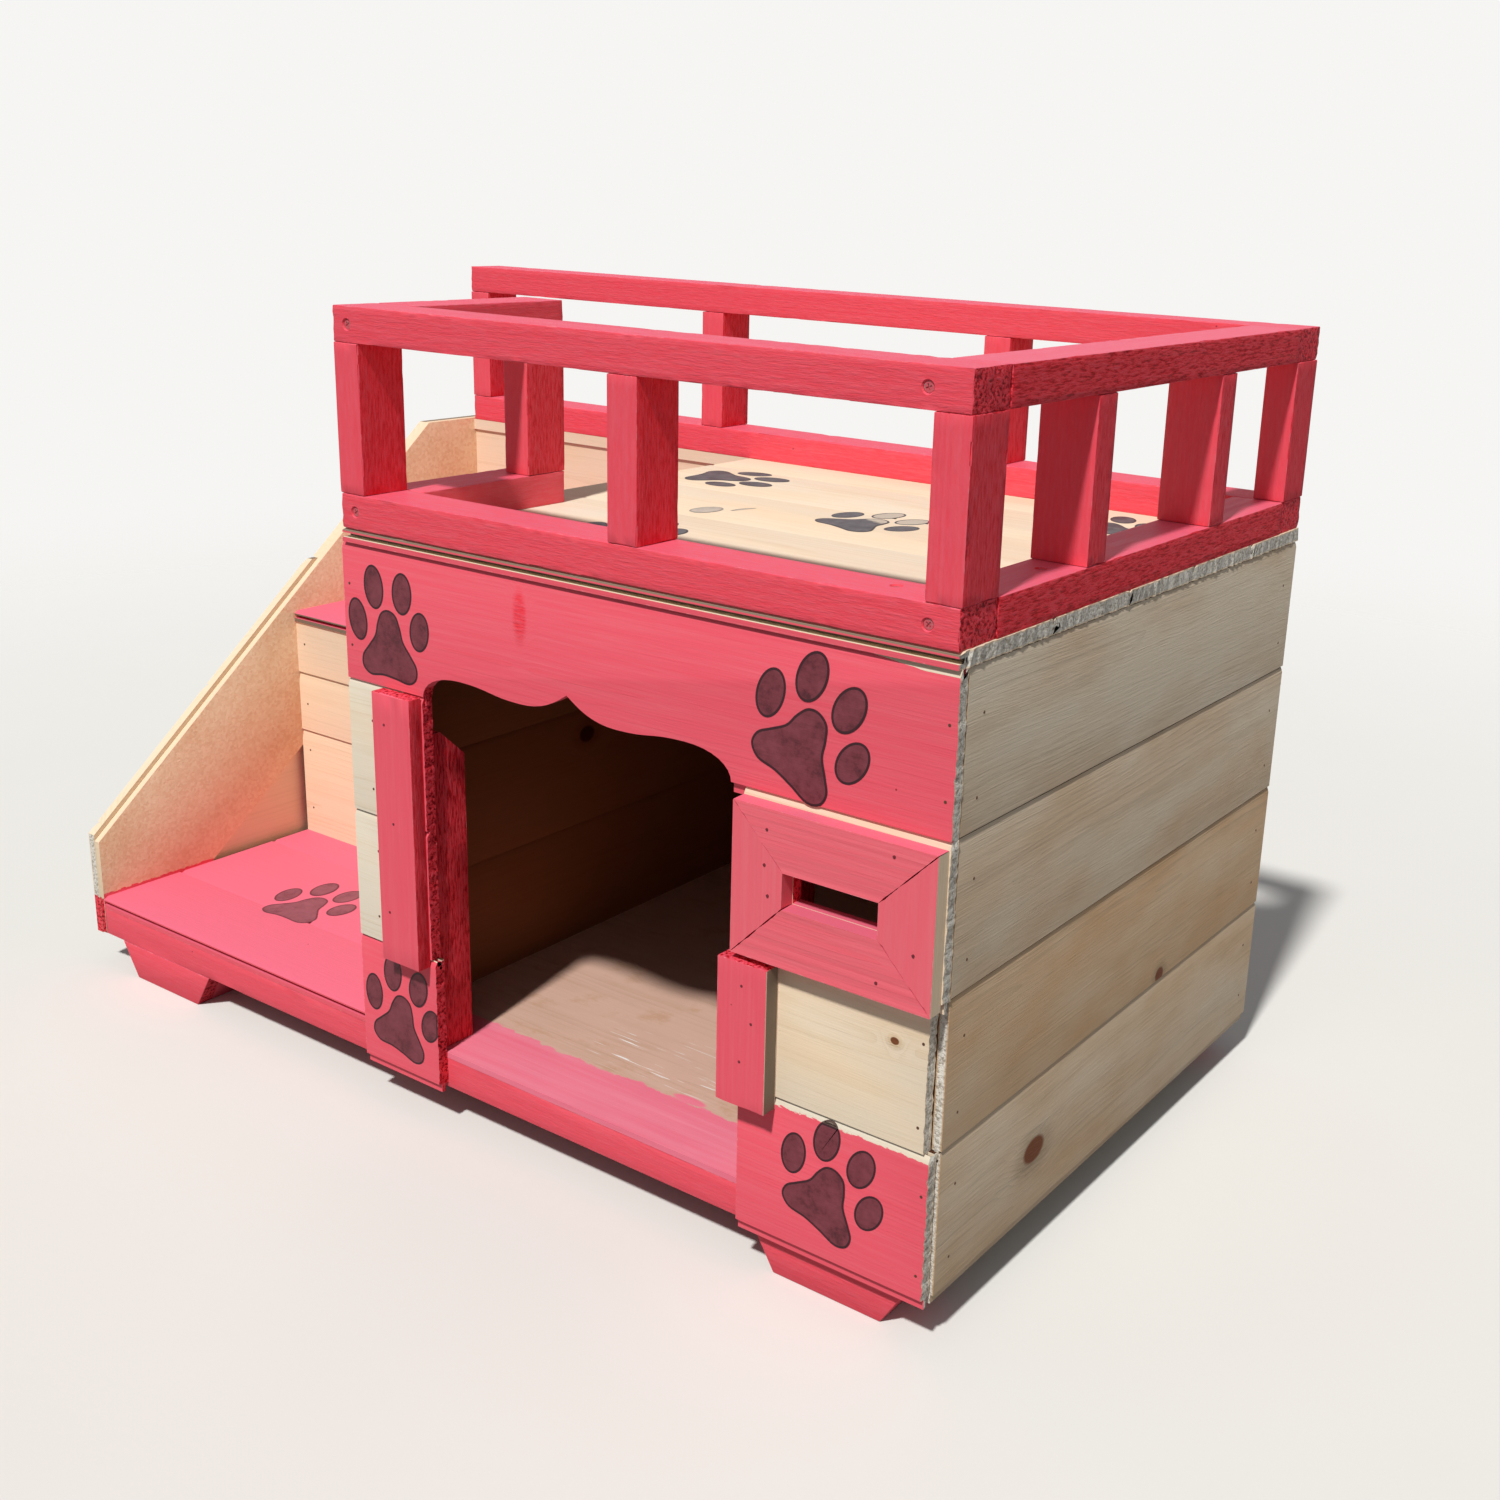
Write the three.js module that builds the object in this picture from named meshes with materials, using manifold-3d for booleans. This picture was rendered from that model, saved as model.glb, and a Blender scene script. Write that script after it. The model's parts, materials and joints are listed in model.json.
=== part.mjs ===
// A handmade wooden dog house: a cabin of tongued boards with a scalloped doorway, a railed deck on
// its roof, and a boxed staircase with a landing at its left. Millimetres, +Z up, front towards -Y.
// The origin is on the ground, under the middle of the whole.
import * as THREE from 'three';
import { mergeVertices } from 'three/addons/utils/BufferGeometryUtils.js';
import Module from 'manifold-3d';

const wasm = await Module();
wasm.setup();

// ---- Driving dimensions ------------------------------------------------------------------------
// Cabin
const CABIN_WIDTH = 710;
const CABIN_DEPTH = 700;
const WALL_ROWS = 4;

// Tongued boards
const BOARD_THICKNESS = 12;
const BOARD_COVER = 140; // height that one board covers in a wall
const JOINT_GAP = 1; // between the faces of two joined boards
const BEVEL_HEIGHT = 6; // bevel along the grooved edge
const BEVEL_DEPTH = 3;
const TONGUE_THICKNESS = 4;
const TONGUE_REACH = 9; // how far a tongue enters the next board
const GROOVE_CLEARANCE = 0.3; // beside the tongue, on each side
const GROOVE_EXTRA_DEPTH = 1;

// Battens of the base and the railing, and the thinner trim battens
const BATTEN_THICKNESS = 34;
const BATTEN_WIDTH = 55;
const TRIM_WIDTH = 54;
const TRIM_THICKNESS = 16;
const SHORT_TRIM_THICKNESS = 18;

// Feet: blocks with sloping ends under the base
const FOOT_HEIGHT = 42;
const FOOT_TOP_LENGTH = 170;
const FOOT_BOTTOM_LENGTH = 118;
const LEFT_FOOT_INSET = 33; // from the left end of the base
const RIGHT_FOOT_INSET = 15; // from the right end of the base

// Floor
const FLOOR_THICKNESS = 6;
const WALL_LIFT = 6; // wall boards start this far above the underside of the base

// Doorway
const LEFT_BOARDS_WIDTH = 109; // front boards left of the doorway
const BOTTOM_LEFT_EXTRA = 5; // the lowest of them is longer
const RIGHT_BOARDS_SETBACK = 14; // boards right of the doorway stand back from the scalloped edge's end
const RIGHT_BOARDS_SHORTFALL = [4, 10, 0]; // by row: short of the cabin's right face
const SCALLOP_SHOULDER = 52; // run of the rounded corner, level at the hump
const SCALLOP_HUMP = 26; // rise at the hump beside each corner
const SCALLOP_DIP_FROM_CENTRE = 60;
const SCALLOP_DIP = 20; // rise at the dip beside the middle point
const SCALLOP_POINT = 40; // rise at the middle point
const STUD_HEIGHT = 345;
const STUD_DEPTH = 44;
const STUD_SETBACK = 4; // stud's side behind the ends of the boards in front of it
const STUD_TOP_FACE = 12; // depth of the level top left in front of the sloping cut
const STUD_CUT_HEIGHT = 30; // height of the sloping cut at the back of the top

// Trim and slot on the front
const LEFT_TRIM_INSET = 3; // from the edge of the boards behind it
const LEFT_TRIM_BOTTOM = 181;
const LEFT_TRIM_LENGTH = 287;
const RIGHT_TRIM_OVERHANG = 12; // past the edge of the boards behind it
const RIGHT_TRIM_BOTTOM = 176;
const RIGHT_TRIM_LENGTH = 140;
const SLOT_WIDTH = 96;
const SLOT_HEIGHT = 32;
const SLOT_FRAME_INSET = 2; // from the right wall's face
const SLOT_FRAME_BOTTOM = 322;

// Deck and railing
const DECK_THICKNESS = 14;
const FRONT_DECK_COVERS = [148, 141, 141, 141]; // one last board fills up to the back
const DECK_OVERHANG = 2; // past the front and back walls
const DECK_LEFT_INSET = 4; // deck and railing from the cabin's left face
const RAIL_RIGHT_INSET = 2; // railing from the right wall's face
const POST_HEIGHT = 144;
const LEFT_RAIL_LENGTH = 200;
const FRONT_MIDDLE_POST = 347; // from the left end of the front rails
const RIGHT_POSTS = [203, 457]; // from the railing's front face
const BACK_POSTS = [418, 832]; // from the left end of the back rails

// Staircase
const STAIR_WIDTH = 495;
const LANDING_COVERS = [108, 142]; // front boards; the last one fills up to the riser's back
const RISER_SETBACK = 308; // riser's face behind the landing's front edge
const RISER_COVERS = [144, 80, 70]; // from the landing up
const RISER_BEVEL_HEIGHT = 12;
const TREAD_FIRST_COVER = 142;
const TREAD_NOSING = 2;
const SHEET_THICKNESS = 9;
const SHEET_CUT_START = 156; // inner sheet's sloping lower edge leaves the landing this far back
const SHEET_CUT_AT_RISER = 122; // height of that edge above the landing, at the riser
const PANEL_FRONT_HEIGHT = 120; // inner sheet's front edge
const PANEL_TOP_RUN = 138; // level top edge at the back
const PANEL_TOP_LIP = 2; // above the deck
const PANEL_BOARDS_DROP = 2; // outer boards hang below the base
const PANEL_BOARDS_RISE = 7; // outer boards stand above the inner sheet along the slope
const PANEL_STEP = 10; // the top outer board starts this far back from the slope below it
const LINING_SETBACK = 50; // lining's face in front of the cabin's back face

// ---- Levels and lines that follow --------------------------------------------------------------
const baseBottom = FOOT_HEIGHT;
const baseTop = baseBottom + BATTEN_THICKNESS;
const floorTop = baseTop + FLOOR_THICKNESS;
const wallBottom = baseBottom + WALL_LIFT;
const wallTop = wallBottom + WALL_ROWS * BOARD_COVER;
const deckTop = wallTop + DECK_THICKNESS;
const landingTop = baseTop + DECK_THICKNESS;
const treadBottom = landingTop + sum(RISER_COVERS);
const treadTop = treadBottom + DECK_THICKNESS;

const innerFront = BOARD_THICKNESS;
const innerBack = CABIN_DEPTH - BOARD_THICKNESS;
const innerRight = CABIN_WIDTH - BOARD_THICKNESS;

const slotFrameWidth = SLOT_WIDTH + 2 * TRIM_WIDTH;
const slotFrameHeight = SLOT_HEIGHT + 2 * TRIM_WIDTH;
const slotFrameLeft = CABIN_WIDTH - SLOT_FRAME_INSET - slotFrameWidth;
const slotX = slotFrameLeft + slotFrameWidth / 2;
const slotZ = SLOT_FRAME_BOTTOM + slotFrameHeight / 2;

const rightBoardsLeft = slotFrameLeft;
const doorLeft = LEFT_BOARDS_WIDTH;
const doorRight = rightBoardsLeft - RIGHT_BOARDS_SETBACK;
const doorWidth = doorRight - doorLeft;

const stairLeft = -STAIR_WIDTH;
const sheetLeft = stairLeft - SHEET_THICKNESS;
const panelLeft = sheetLeft - BOARD_THICKNESS;
const riserFace = innerFront + RISER_SETBACK;
const riserBack = riserFace + BOARD_THICKNESS;
const liningFace = CABIN_DEPTH - LINING_SETBACK;

const deckFront = -DECK_OVERHANG;
const deckBack = CABIN_DEPTH + DECK_OVERHANG;
const deckCovers = [...FRONT_DECK_COVERS, deckBack - deckFront - sum(FRONT_DECK_COVERS)];
const railRight = CABIN_WIDTH - RAIL_RIGHT_INSET;
const railBack = deckBack - BATTEN_WIDTH;

// ---- Materials ---------------------------------------------------------------------------------
const PAINT = { color: 0xec5a6c, roughness: 0.72 };
const PINE = { color: 0xe3cfae, roughness: 0.8 };
const WEATHERED_PINE = { color: 0x9a8d7c, roughness: 0.85 };
const ROUGH_SHEET = { color: 0xd79b6b, roughness: 0.9 };
const FLOOR_SHEET = { color: 0xb58c66, roughness: 0.8 };

const house = new THREE.Group();

function addPiece(name, geometry, looks, at = [0, 0, 0]) {
  const mesh = new THREE.Mesh(geometry, new THREE.MeshStandardMaterial({ ...looks, metalness: 0 }));
  mesh.name = name;
  mesh.position.set(...at);
  house.add(mesh);
}

// A block of timber from its lowest corner and its size.
function addBlock(name, corner, size, looks) {
  const middle = corner.map((low, axis) => low + size[axis] / 2);
  addPiece(name, new THREE.BoxGeometry(...size), looks, middle);
}

// ---- Shapes ------------------------------------------------------------------------------------
function sum(lengths) {
  return lengths.reduce((total, length) => total + length, 0);
}

function outline(points) {
  return new THREE.Shape(points.map(([across, up]) => new THREE.Vector2(across, up)));
}

// Extrudes a shape that is drawn in Y and Z from x = 0 to the length.
function prismX(shape, length) {
  const alongX = new THREE.Matrix4().makeBasis(
    new THREE.Vector3(0, 1, 0), new THREE.Vector3(0, 0, 1), new THREE.Vector3(1, 0, 0));
  return new THREE.ExtrudeGeometry(shape, { depth: length, bevelEnabled: false }).applyMatrix4(alongX);
}

// Extrudes a shape that is drawn in X and Z from y = 0 to the length.
function prismY(shape, length) {
  const alongY = new THREE.Matrix4().makeBasis(
    new THREE.Vector3(1, 0, 0), new THREE.Vector3(0, 0, 1), new THREE.Vector3(0, -1, 0));
  return new THREE.ExtrudeGeometry(shape, { depth: length, bevelEnabled: false })
    .applyMatrix4(alongY).translate(0, length, 0);
}

function toSolid(geometry) {
  const bare = geometry.clone();
  bare.deleteAttribute('normal');
  bare.deleteAttribute('uv');
  const merged = mergeVertices(bare, 1e-4);
  return new wasm.Manifold(new wasm.Mesh({
    numProp: 3,
    vertProperties: new Float32Array(merged.attributes.position.array),
    triVerts: new Uint32Array(merged.index.array),
  }));
}

function toGeometry(solid) {
  const mesh = solid.getMesh();
  const geometry = new THREE.BufferGeometry();
  geometry.setAttribute('position', new THREE.BufferAttribute(new Float32Array(mesh.vertProperties), 3));
  geometry.setIndex(new THREE.BufferAttribute(new Uint32Array(mesh.triVerts), 1));
  const flatShaded = geometry.toNonIndexed();
  flatShaded.computeVertexNormals();
  return flatShaded;
}

function cut(geometry, cutter) {
  return toGeometry(toSolid(geometry).subtract(toSolid(cutter)));
}

function common(first, second) {
  return toGeometry(toSolid(first).intersect(toSolid(second)));
}

// ---- Board sections ----------------------------------------------------------------------------
// Points are [depth behind the face, place along the cover]. The tongue is at the start of the
// cover, and the bevelled, grooved edge is at its end.
function tongue(thickness) {
  const near = (thickness - TONGUE_THICKNESS) / 2;
  const far = near + TONGUE_THICKNESS;
  return [[0, JOINT_GAP], [near, JOINT_GAP], [near, -TONGUE_REACH], [far, -TONGUE_REACH], [far, 0]];
}

function groovedEdge(cover, thickness) {
  const near = (thickness - TONGUE_THICKNESS) / 2 - GROOVE_CLEARANCE;
  const far = near + TONGUE_THICKNESS + 2 * GROOVE_CLEARANCE;
  const floor = cover - TONGUE_REACH - GROOVE_EXTRA_DEPTH;
  return [[far, cover], [far, floor], [near, floor], [near, cover], [BEVEL_DEPTH, cover],
    [0, cover - BEVEL_HEIGHT]];
}

function boardSection(cover, thickness = BOARD_THICKNESS) {
  return [...tongue(thickness), [thickness, 0], [thickness, cover], ...groovedEdge(cover, thickness)];
}

// The last board of a deck has its tongue sawn off.
function lastBoardSection(cover, thickness) {
  return [[0, 0], [thickness, 0], [thickness, cover], ...groovedEdge(cover, thickness)];
}

// Boards that are fastened together and handled as one panel, with the grooves between their faces.
function panelSection(covers, thickness, { bevelHeight = BEVEL_HEIGHT, grooved = false } = {}) {
  const length = sum(covers);
  const shoulder = (thickness - TONGUE_THICKNESS) / 2;
  const points = [[0, 0]];
  let joint = 0;
  for (const cover of covers.slice(0, -1)) {
    joint += cover;
    points.push([0, joint - bevelHeight], [BEVEL_DEPTH, joint], [shoulder, joint],
      [shoulder, joint + JOINT_GAP], [0, joint + JOINT_GAP]);
  }
  points.push(...(grooved ? groovedEdge(length, thickness).reverse() : [[0, length]]));
  points.push([thickness, length], [thickness, 0]);
  return points;
}

// Rows of full boards up a wall, the top one cut to what is left.
function wallCovers(height) {
  const full = Math.ceil(height / BOARD_COVER) - 1;
  return [...Array(full).fill(BOARD_COVER), height - full * BOARD_COVER];
}

// Which way a section's face looks once it is placed. Walls grow upwards, decks grow forwards.
const facing = {
  front: (points) => outline(points),
  left: (points) => outline(points),
  back: (points) => outline(points.map(([depth, along]) => [-depth, along])),
  right: (points) => outline(points.map(([depth, along]) => [-depth, along])),
  up: (points) => outline(points.map(([depth, along]) => [-along, -depth])),
};

// ---- Base and floor ----------------------------------------------------------------------------
function addBase() {
  const length = innerRight - stairLeft;
  const crossFront = innerFront + BATTEN_WIDTH;
  const backFront = innerBack - BATTEN_WIDTH;
  const along = [length, BATTEN_WIDTH, BATTEN_THICKNESS];
  const cross = [BATTEN_WIDTH, backFront - crossFront, BATTEN_THICKNESS];
  addBlock('base_front_batten', [stairLeft, innerFront, baseBottom], along, PAINT);
  addBlock('base_back_batten', [stairLeft, backFront, baseBottom], along, PINE);
  addBlock('base_left_batten', [stairLeft, crossFront, baseBottom], cross, PINE);
  addBlock('base_middle_batten', [-BATTEN_WIDTH / 2, crossFront, baseBottom], cross, PINE);
  addBlock('base_right_batten', [innerRight - BATTEN_WIDTH, crossFront, baseBottom], cross, PINE);

  const slope = (FOOT_TOP_LENGTH - FOOT_BOTTOM_LENGTH) / 2;
  const foot = outline([
    [slope, 0], [FOOT_TOP_LENGTH - slope, 0], [FOOT_TOP_LENGTH, FOOT_HEIGHT], [0, FOOT_HEIGHT],
  ]);
  const columns = {
    left: stairLeft + LEFT_FOOT_INSET,
    right: innerRight - RIGHT_FOOT_INSET - FOOT_TOP_LENGTH,
  };
  const rows = { front: innerFront, back: backFront };
  for (const [row, y] of Object.entries(rows)) {
    for (const [column, x] of Object.entries(columns)) {
      addPiece(`foot_${row}_${column}`, prismY(foot, BATTEN_WIDTH), PAINT, [x, y, 0]);
    }
  }
  const floorSize = [innerRight, innerBack - innerFront, FLOOR_THICKNESS];
  addBlock('floor_sheet', [0, innerFront, baseTop], floorSize, FLOOR_SHEET);
}

// ---- Front -------------------------------------------------------------------------------------
function rowBottom(row) {
  return wallBottom + row * BOARD_COVER;
}

// What is cut from the header over the doorway, drawn about the middle of its lower edge: a rounded
// corner, a hump and a dip on each side of the middle point.
function doorwayHead() {
  const half = doorWidth / 2;
  const hump = half - SCALLOP_SHOULDER;
  const dip = SCALLOP_DIP_FROM_CENTRE;
  const ease = (hump - dip) / 2;
  const right = new THREE.CurvePath();
  const curve = (...points) => right.add(new THREE.CubicBezierCurve(
    ...points.map(([across, up]) => new THREE.Vector2(across, up))));
  curve([half, 0], [half, SCALLOP_HUMP * 0.6], [half - SCALLOP_SHOULDER * 0.4, SCALLOP_HUMP],
    [hump, SCALLOP_HUMP]);
  curve([hump, SCALLOP_HUMP], [hump - ease, SCALLOP_HUMP], [dip + ease, SCALLOP_DIP], [dip, SCALLOP_DIP]);
  curve([dip, SCALLOP_DIP], [dip / 2, SCALLOP_DIP], [dip / 4, (SCALLOP_DIP + SCALLOP_POINT) / 2],
    [0, SCALLOP_POINT]);
  const edge = right.curves.flatMap((piece) => piece.getPoints(8).slice(1).map(({ x, y }) => [x, y]));
  const mirrored = edge.slice(0, -1).reverse().map(([x, y]) => [-x, y]);
  return outline([[-half, -BOARD_COVER], [half, -BOARD_COVER], [half, 0], ...edge, ...mirrored, [-half, 0]]);
}

function addFront() {
  const board = facing.front(boardSection(BOARD_COVER));
  const headerRow = WALL_ROWS - 1;
  const head = prismY(doorwayHead(), 3 * BOARD_THICKNESS)
    .translate(doorLeft + doorWidth / 2, -BOARD_THICKNESS, 0);
  addPiece('header_board', cut(prismX(board, CABIN_WIDTH), head), PAINT, [0, 0, rowBottom(headerRow)]);

  for (let row = 0; row < headerRow; row += 1) {
    const looks = row === 0 ? PAINT : PINE;
    const leftLength = LEFT_BOARDS_WIDTH + (row === 0 ? BOTTOM_LEFT_EXTRA : 0);
    const rightLength = CABIN_WIDTH - rightBoardsLeft - RIGHT_BOARDS_SHORTFALL[row];
    const slot = new THREE.BoxGeometry(SLOT_WIDTH, 4 * BOARD_THICKNESS, SLOT_HEIGHT)
      .translate(slotX - rightBoardsLeft, 0, slotZ - rowBottom(row));
    const plain = prismX(board, rightLength);
    const slotted = slotZ > rowBottom(row) && slotZ < rowBottom(row + 1);
    addPiece(`front_left_board_${row + 1}`, prismX(board, leftLength), looks, [0, 0, rowBottom(row)]);
    addPiece(`front_right_board_${row + 1}`, slotted ? cut(plain, slot) : plain, looks,
      [rightBoardsLeft, 0, rowBottom(row)]);
  }
}

function addTrim() {
  addBlock('left_trim_batten', [doorLeft - LEFT_TRIM_INSET - TRIM_WIDTH, -TRIM_THICKNESS, LEFT_TRIM_BOTTOM],
    [TRIM_WIDTH, TRIM_THICKNESS, LEFT_TRIM_LENGTH], PAINT);
  addBlock('right_trim_batten',
    [rightBoardsLeft - RIGHT_TRIM_OVERHANG, -SHORT_TRIM_THICKNESS, RIGHT_TRIM_BOTTOM],
    [TRIM_WIDTH, SHORT_TRIM_THICKNESS, RIGHT_TRIM_LENGTH], PAINT);
}

// Four mitred pieces round the slot, drawn about the slot's middle.
function addSlotFrame() {
  const outX = slotFrameWidth / 2;
  const outZ = slotFrameHeight / 2;
  const inX = SLOT_WIDTH / 2;
  const inZ = SLOT_HEIGHT / 2;
  const sides = {
    bottom: [[-outX, -outZ], [outX, -outZ], [inX, -inZ], [-inX, -inZ]],
    right: [[outX, -outZ], [outX, outZ], [inX, inZ], [inX, -inZ]],
    top: [[outX, outZ], [-outX, outZ], [-inX, inZ], [inX, inZ]],
    left: [[-outX, outZ], [-outX, -outZ], [-inX, -inZ], [-inX, inZ]],
  };
  for (const [side, points] of Object.entries(sides)) {
    addPiece(`slot_frame_${side}`, prismY(outline(points), TRIM_THICKNESS), PAINT,
      [slotX, -TRIM_THICKNESS, slotZ]);
  }
}

// Studs behind the boards on both sides of the doorway. The top is sawn to a slope that falls to
// the back.
function addDoorStuds() {
  const side = outline([
    [0, 0], [STUD_DEPTH, 0], [STUD_DEPTH, STUD_HEIGHT - STUD_CUT_HEIGHT],
    [STUD_TOP_FACE, STUD_HEIGHT], [0, STUD_HEIGHT],
  ]);
  addPiece('door_stud_left', prismX(side, BATTEN_THICKNESS), PAINT,
    [doorLeft - STUD_SETBACK - BATTEN_THICKNESS, innerFront, floorTop]);
  addPiece('door_stud_right', prismX(side, BATTEN_THICKNESS), PAINT,
    [rightBoardsLeft + STUD_SETBACK, innerFront, floorTop]);
}

// ---- Cabin walls and deck ----------------------------------------------------------------------
function addWalls() {
  const rightBoard = facing.right(boardSection(BOARD_COVER));
  for (let row = 0; row < WALL_ROWS; row += 1) {
    addPiece(`right_wall_board_${row + 1}`, prismY(rightBoard, CABIN_DEPTH - innerFront), WEATHERED_PINE,
      [CABIN_WIDTH, innerFront, rowBottom(row)]);
  }
  const left = facing.right(panelSection(wallCovers(wallTop - floorTop), BOARD_THICKNESS));
  addPiece('left_wall', prismY(left, innerBack - innerFront), PINE, [BOARD_THICKNESS, innerFront, floorTop]);
  const back = facing.back(panelSection(Array(WALL_ROWS).fill(BOARD_COVER), BOARD_THICKNESS));
  addPiece('back_wall', prismX(back, innerRight - stairLeft), WEATHERED_PINE,
    [stairLeft, CABIN_DEPTH, wallBottom]);
}

// The deck's back board runs on to the left, over the staircase's lining.
function addDeck() {
  let front = deckFront;
  deckCovers.forEach((cover, index) => {
    const isLast = index === deckCovers.length - 1;
    const section = isLast ? lastBoardSection : boardSection;
    const left = isLast ? stairLeft : DECK_LEFT_INSET;
    const back = front + cover;
    let board = prismX(facing.up(section(cover, DECK_THICKNESS)), CABIN_WIDTH - left);
    if (isLast) {
      const notchWidth = DECK_LEFT_INSET - left;
      const notchDepth = cover - BATTEN_WIDTH;
      const notch = new THREE.BoxGeometry(2 * notchWidth, 2 * notchDepth, 3 * DECK_THICKNESS);
      board = cut(board, notch.translate(0, -cover, 0));
    }
    addPiece(`deck_board_${index + 1}`, board, PINE, [left, back, deckTop]);
    front = back;
  });
}

// ---- Railing -----------------------------------------------------------------------------------
function addRailing() {
  const frontLength = railRight - DECK_LEFT_INSET;
  const behindFront = deckFront + BATTEN_WIDTH;
  const rails = {
    front: [[DECK_LEFT_INSET, deckFront], [frontLength, BATTEN_WIDTH]],
    back: [[stairLeft, railBack], [railRight - stairLeft, BATTEN_WIDTH]],
    right: [[railRight - BATTEN_WIDTH, behindFront], [BATTEN_WIDTH, railBack - behindFront]],
    left: [[DECK_LEFT_INSET, behindFront], [BATTEN_WIDTH, LEFT_RAIL_LENGTH]],
  };
  const levels = { lower: deckTop, upper: deckTop + BATTEN_THICKNESS + POST_HEIGHT };
  for (const [level, z] of Object.entries(levels)) {
    for (const [side, [corner, size]] of Object.entries(rails)) {
      addBlock(`${level}_rail_${side}`, [...corner, z], [...size, BATTEN_THICKNESS], PAINT);
    }
  }

  // Posts stand with their wide face to the inside of the railing.
  const wideInY = [BATTEN_THICKNESS, BATTEN_WIDTH, POST_HEIGHT];
  const wideInX = [BATTEN_WIDTH, BATTEN_THICKNESS, POST_HEIGHT];
  const rightPostX = railRight - BATTEN_WIDTH;
  const cornerX = railRight - BATTEN_THICKNESS;
  const leftEndX = DECK_LEFT_INSET + BATTEN_WIDTH - BATTEN_THICKNESS;
  const leftEndY = behindFront + LEFT_RAIL_LENGTH - BATTEN_WIDTH;
  const posts = {
    front_left: [[DECK_LEFT_INSET, deckFront], wideInY],
    front_middle: [[DECK_LEFT_INSET + FRONT_MIDDLE_POST, deckFront], wideInY],
    front_right: [[cornerX, deckFront], wideInY],
    right_front: [[rightPostX, deckFront + RIGHT_POSTS[0]], wideInX],
    right_back: [[rightPostX, deckFront + RIGHT_POSTS[1]], wideInX],
    back_right: [[cornerX, railBack], wideInY],
    back_middle: [[stairLeft + BACK_POSTS[1], railBack], wideInY],
    back_inner_left: [[stairLeft + BACK_POSTS[0], railBack], wideInY],
    back_left: [[stairLeft, railBack], wideInY],
    left_end: [[leftEndX, leftEndY], wideInY],
  };
  for (const [place, [corner, size]] of Object.entries(posts)) {
    addBlock(`post_${place}`, [...corner, deckTop + BATTEN_THICKNESS], size, PAINT);
  }
}

// ---- Staircase ---------------------------------------------------------------------------------
// Side panel seen from its side: upright front edge, slope, and a level top at the back.
const slopeRun = CABIN_DEPTH - PANEL_TOP_RUN - innerFront;
const panelTop = deckTop + PANEL_TOP_LIP;
const slopeFoot = baseBottom + PANEL_FRONT_HEIGHT;
const slopeRise = (panelTop - slopeFoot) / slopeRun;

function slopeHeight(y, rise) {
  return slopeFoot + rise + (y - innerFront) * slopeRise;
}

function slopeDepth(z, rise) {
  return innerFront + (z - slopeFoot - rise) / slopeRise;
}

// The inner sheet's lower edge rises with the stairs up to the tread, so that the outer boards show
// in the corner between the landing and the riser.
function sheetCutDepth(z) {
  const run = riserFace - innerFront - SHEET_CUT_START;
  return innerFront + SHEET_CUT_START + (z - landingTop) * run / SHEET_CUT_AT_RISER;
}

function addSidePanel() {
  const sheet = outline([
    [innerFront, baseBottom], [sheetCutDepth(baseBottom), baseBottom],
    [sheetCutDepth(treadBottom), treadBottom], [CABIN_DEPTH, treadBottom], [CABIN_DEPTH, panelTop],
    [slopeDepth(panelTop, 0), panelTop], [innerFront, slopeFoot],
  ]);
  addPiece('stair_side_sheet', prismX(sheet, SHEET_THICKNESS), ROUGH_SHEET, [sheetLeft, 0, 0]);

  const bottom = baseBottom - PANEL_BOARDS_DROP;
  const covers = wallCovers(panelTop - bottom - BOARD_COVER / 2);
  covers[covers.length - 1] += BOARD_COVER / 2;
  const lastJoint = panelTop - covers[covers.length - 1];
  const cladding = outline([
    [innerFront, bottom], [CABIN_DEPTH, bottom], [CABIN_DEPTH, panelTop],
    [slopeDepth(panelTop, PANEL_BOARDS_RISE) + PANEL_STEP, panelTop],
    [slopeDepth(lastJoint, PANEL_BOARDS_RISE) + PANEL_STEP, lastJoint],
    [slopeDepth(lastJoint, PANEL_BOARDS_RISE), lastJoint],
    [innerFront, slopeHeight(innerFront, PANEL_BOARDS_RISE)],
  ]);
  const boards = prismY(facing.left(panelSection(covers, BOARD_THICKNESS)), CABIN_DEPTH)
    .translate(0, 0, bottom);
  addPiece('stair_side_boards', common(boards, prismX(cladding, BOARD_THICKNESS)), WEATHERED_PINE,
    [panelLeft, 0, 0]);
}

function addSteps() {
  const landingDepth = riserBack - innerFront;
  const landingCovers = [landingDepth - sum(LANDING_COVERS), ...LANDING_COVERS.slice().reverse()];
  const landing = facing.up(panelSection(landingCovers, DECK_THICKNESS, { grooved: true }));
  addPiece('stair_landing', prismX(landing, STAIR_WIDTH), PAINT, [stairLeft, riserBack, landingTop]);

  const riserSection = panelSection(RISER_COVERS, BOARD_THICKNESS, { bevelHeight: RISER_BEVEL_HEIGHT });
  addPiece('stair_riser', prismX(facing.front(riserSection), STAIR_WIDTH), PINE,
    [stairLeft, riserFace, landingTop]);

  const treadDepth = liningFace - riserFace + TREAD_NOSING;
  const treadCovers = [treadDepth - TREAD_FIRST_COVER, TREAD_FIRST_COVER];
  const tread = facing.up(panelSection(treadCovers, DECK_THICKNESS, { grooved: true }));
  addPiece('stair_upper_tread', prismX(tread, STAIR_WIDTH), PAINT, [stairLeft, liningFace, treadTop]);

  const lining = facing.front(panelSection(wallCovers(wallTop - baseTop), BOARD_THICKNESS));
  addPiece('stair_back_lining', prismX(lining, STAIR_WIDTH), PINE, [stairLeft, liningFace, baseTop]);
}

// ---- Assembly ----------------------------------------------------------------------------------
addBase();
addFront();
addTrim();
addSlotFrame();
addDoorStuds();
addWalls();
addDeck();
addRailing();
addSidePanel();
addSteps();

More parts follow.
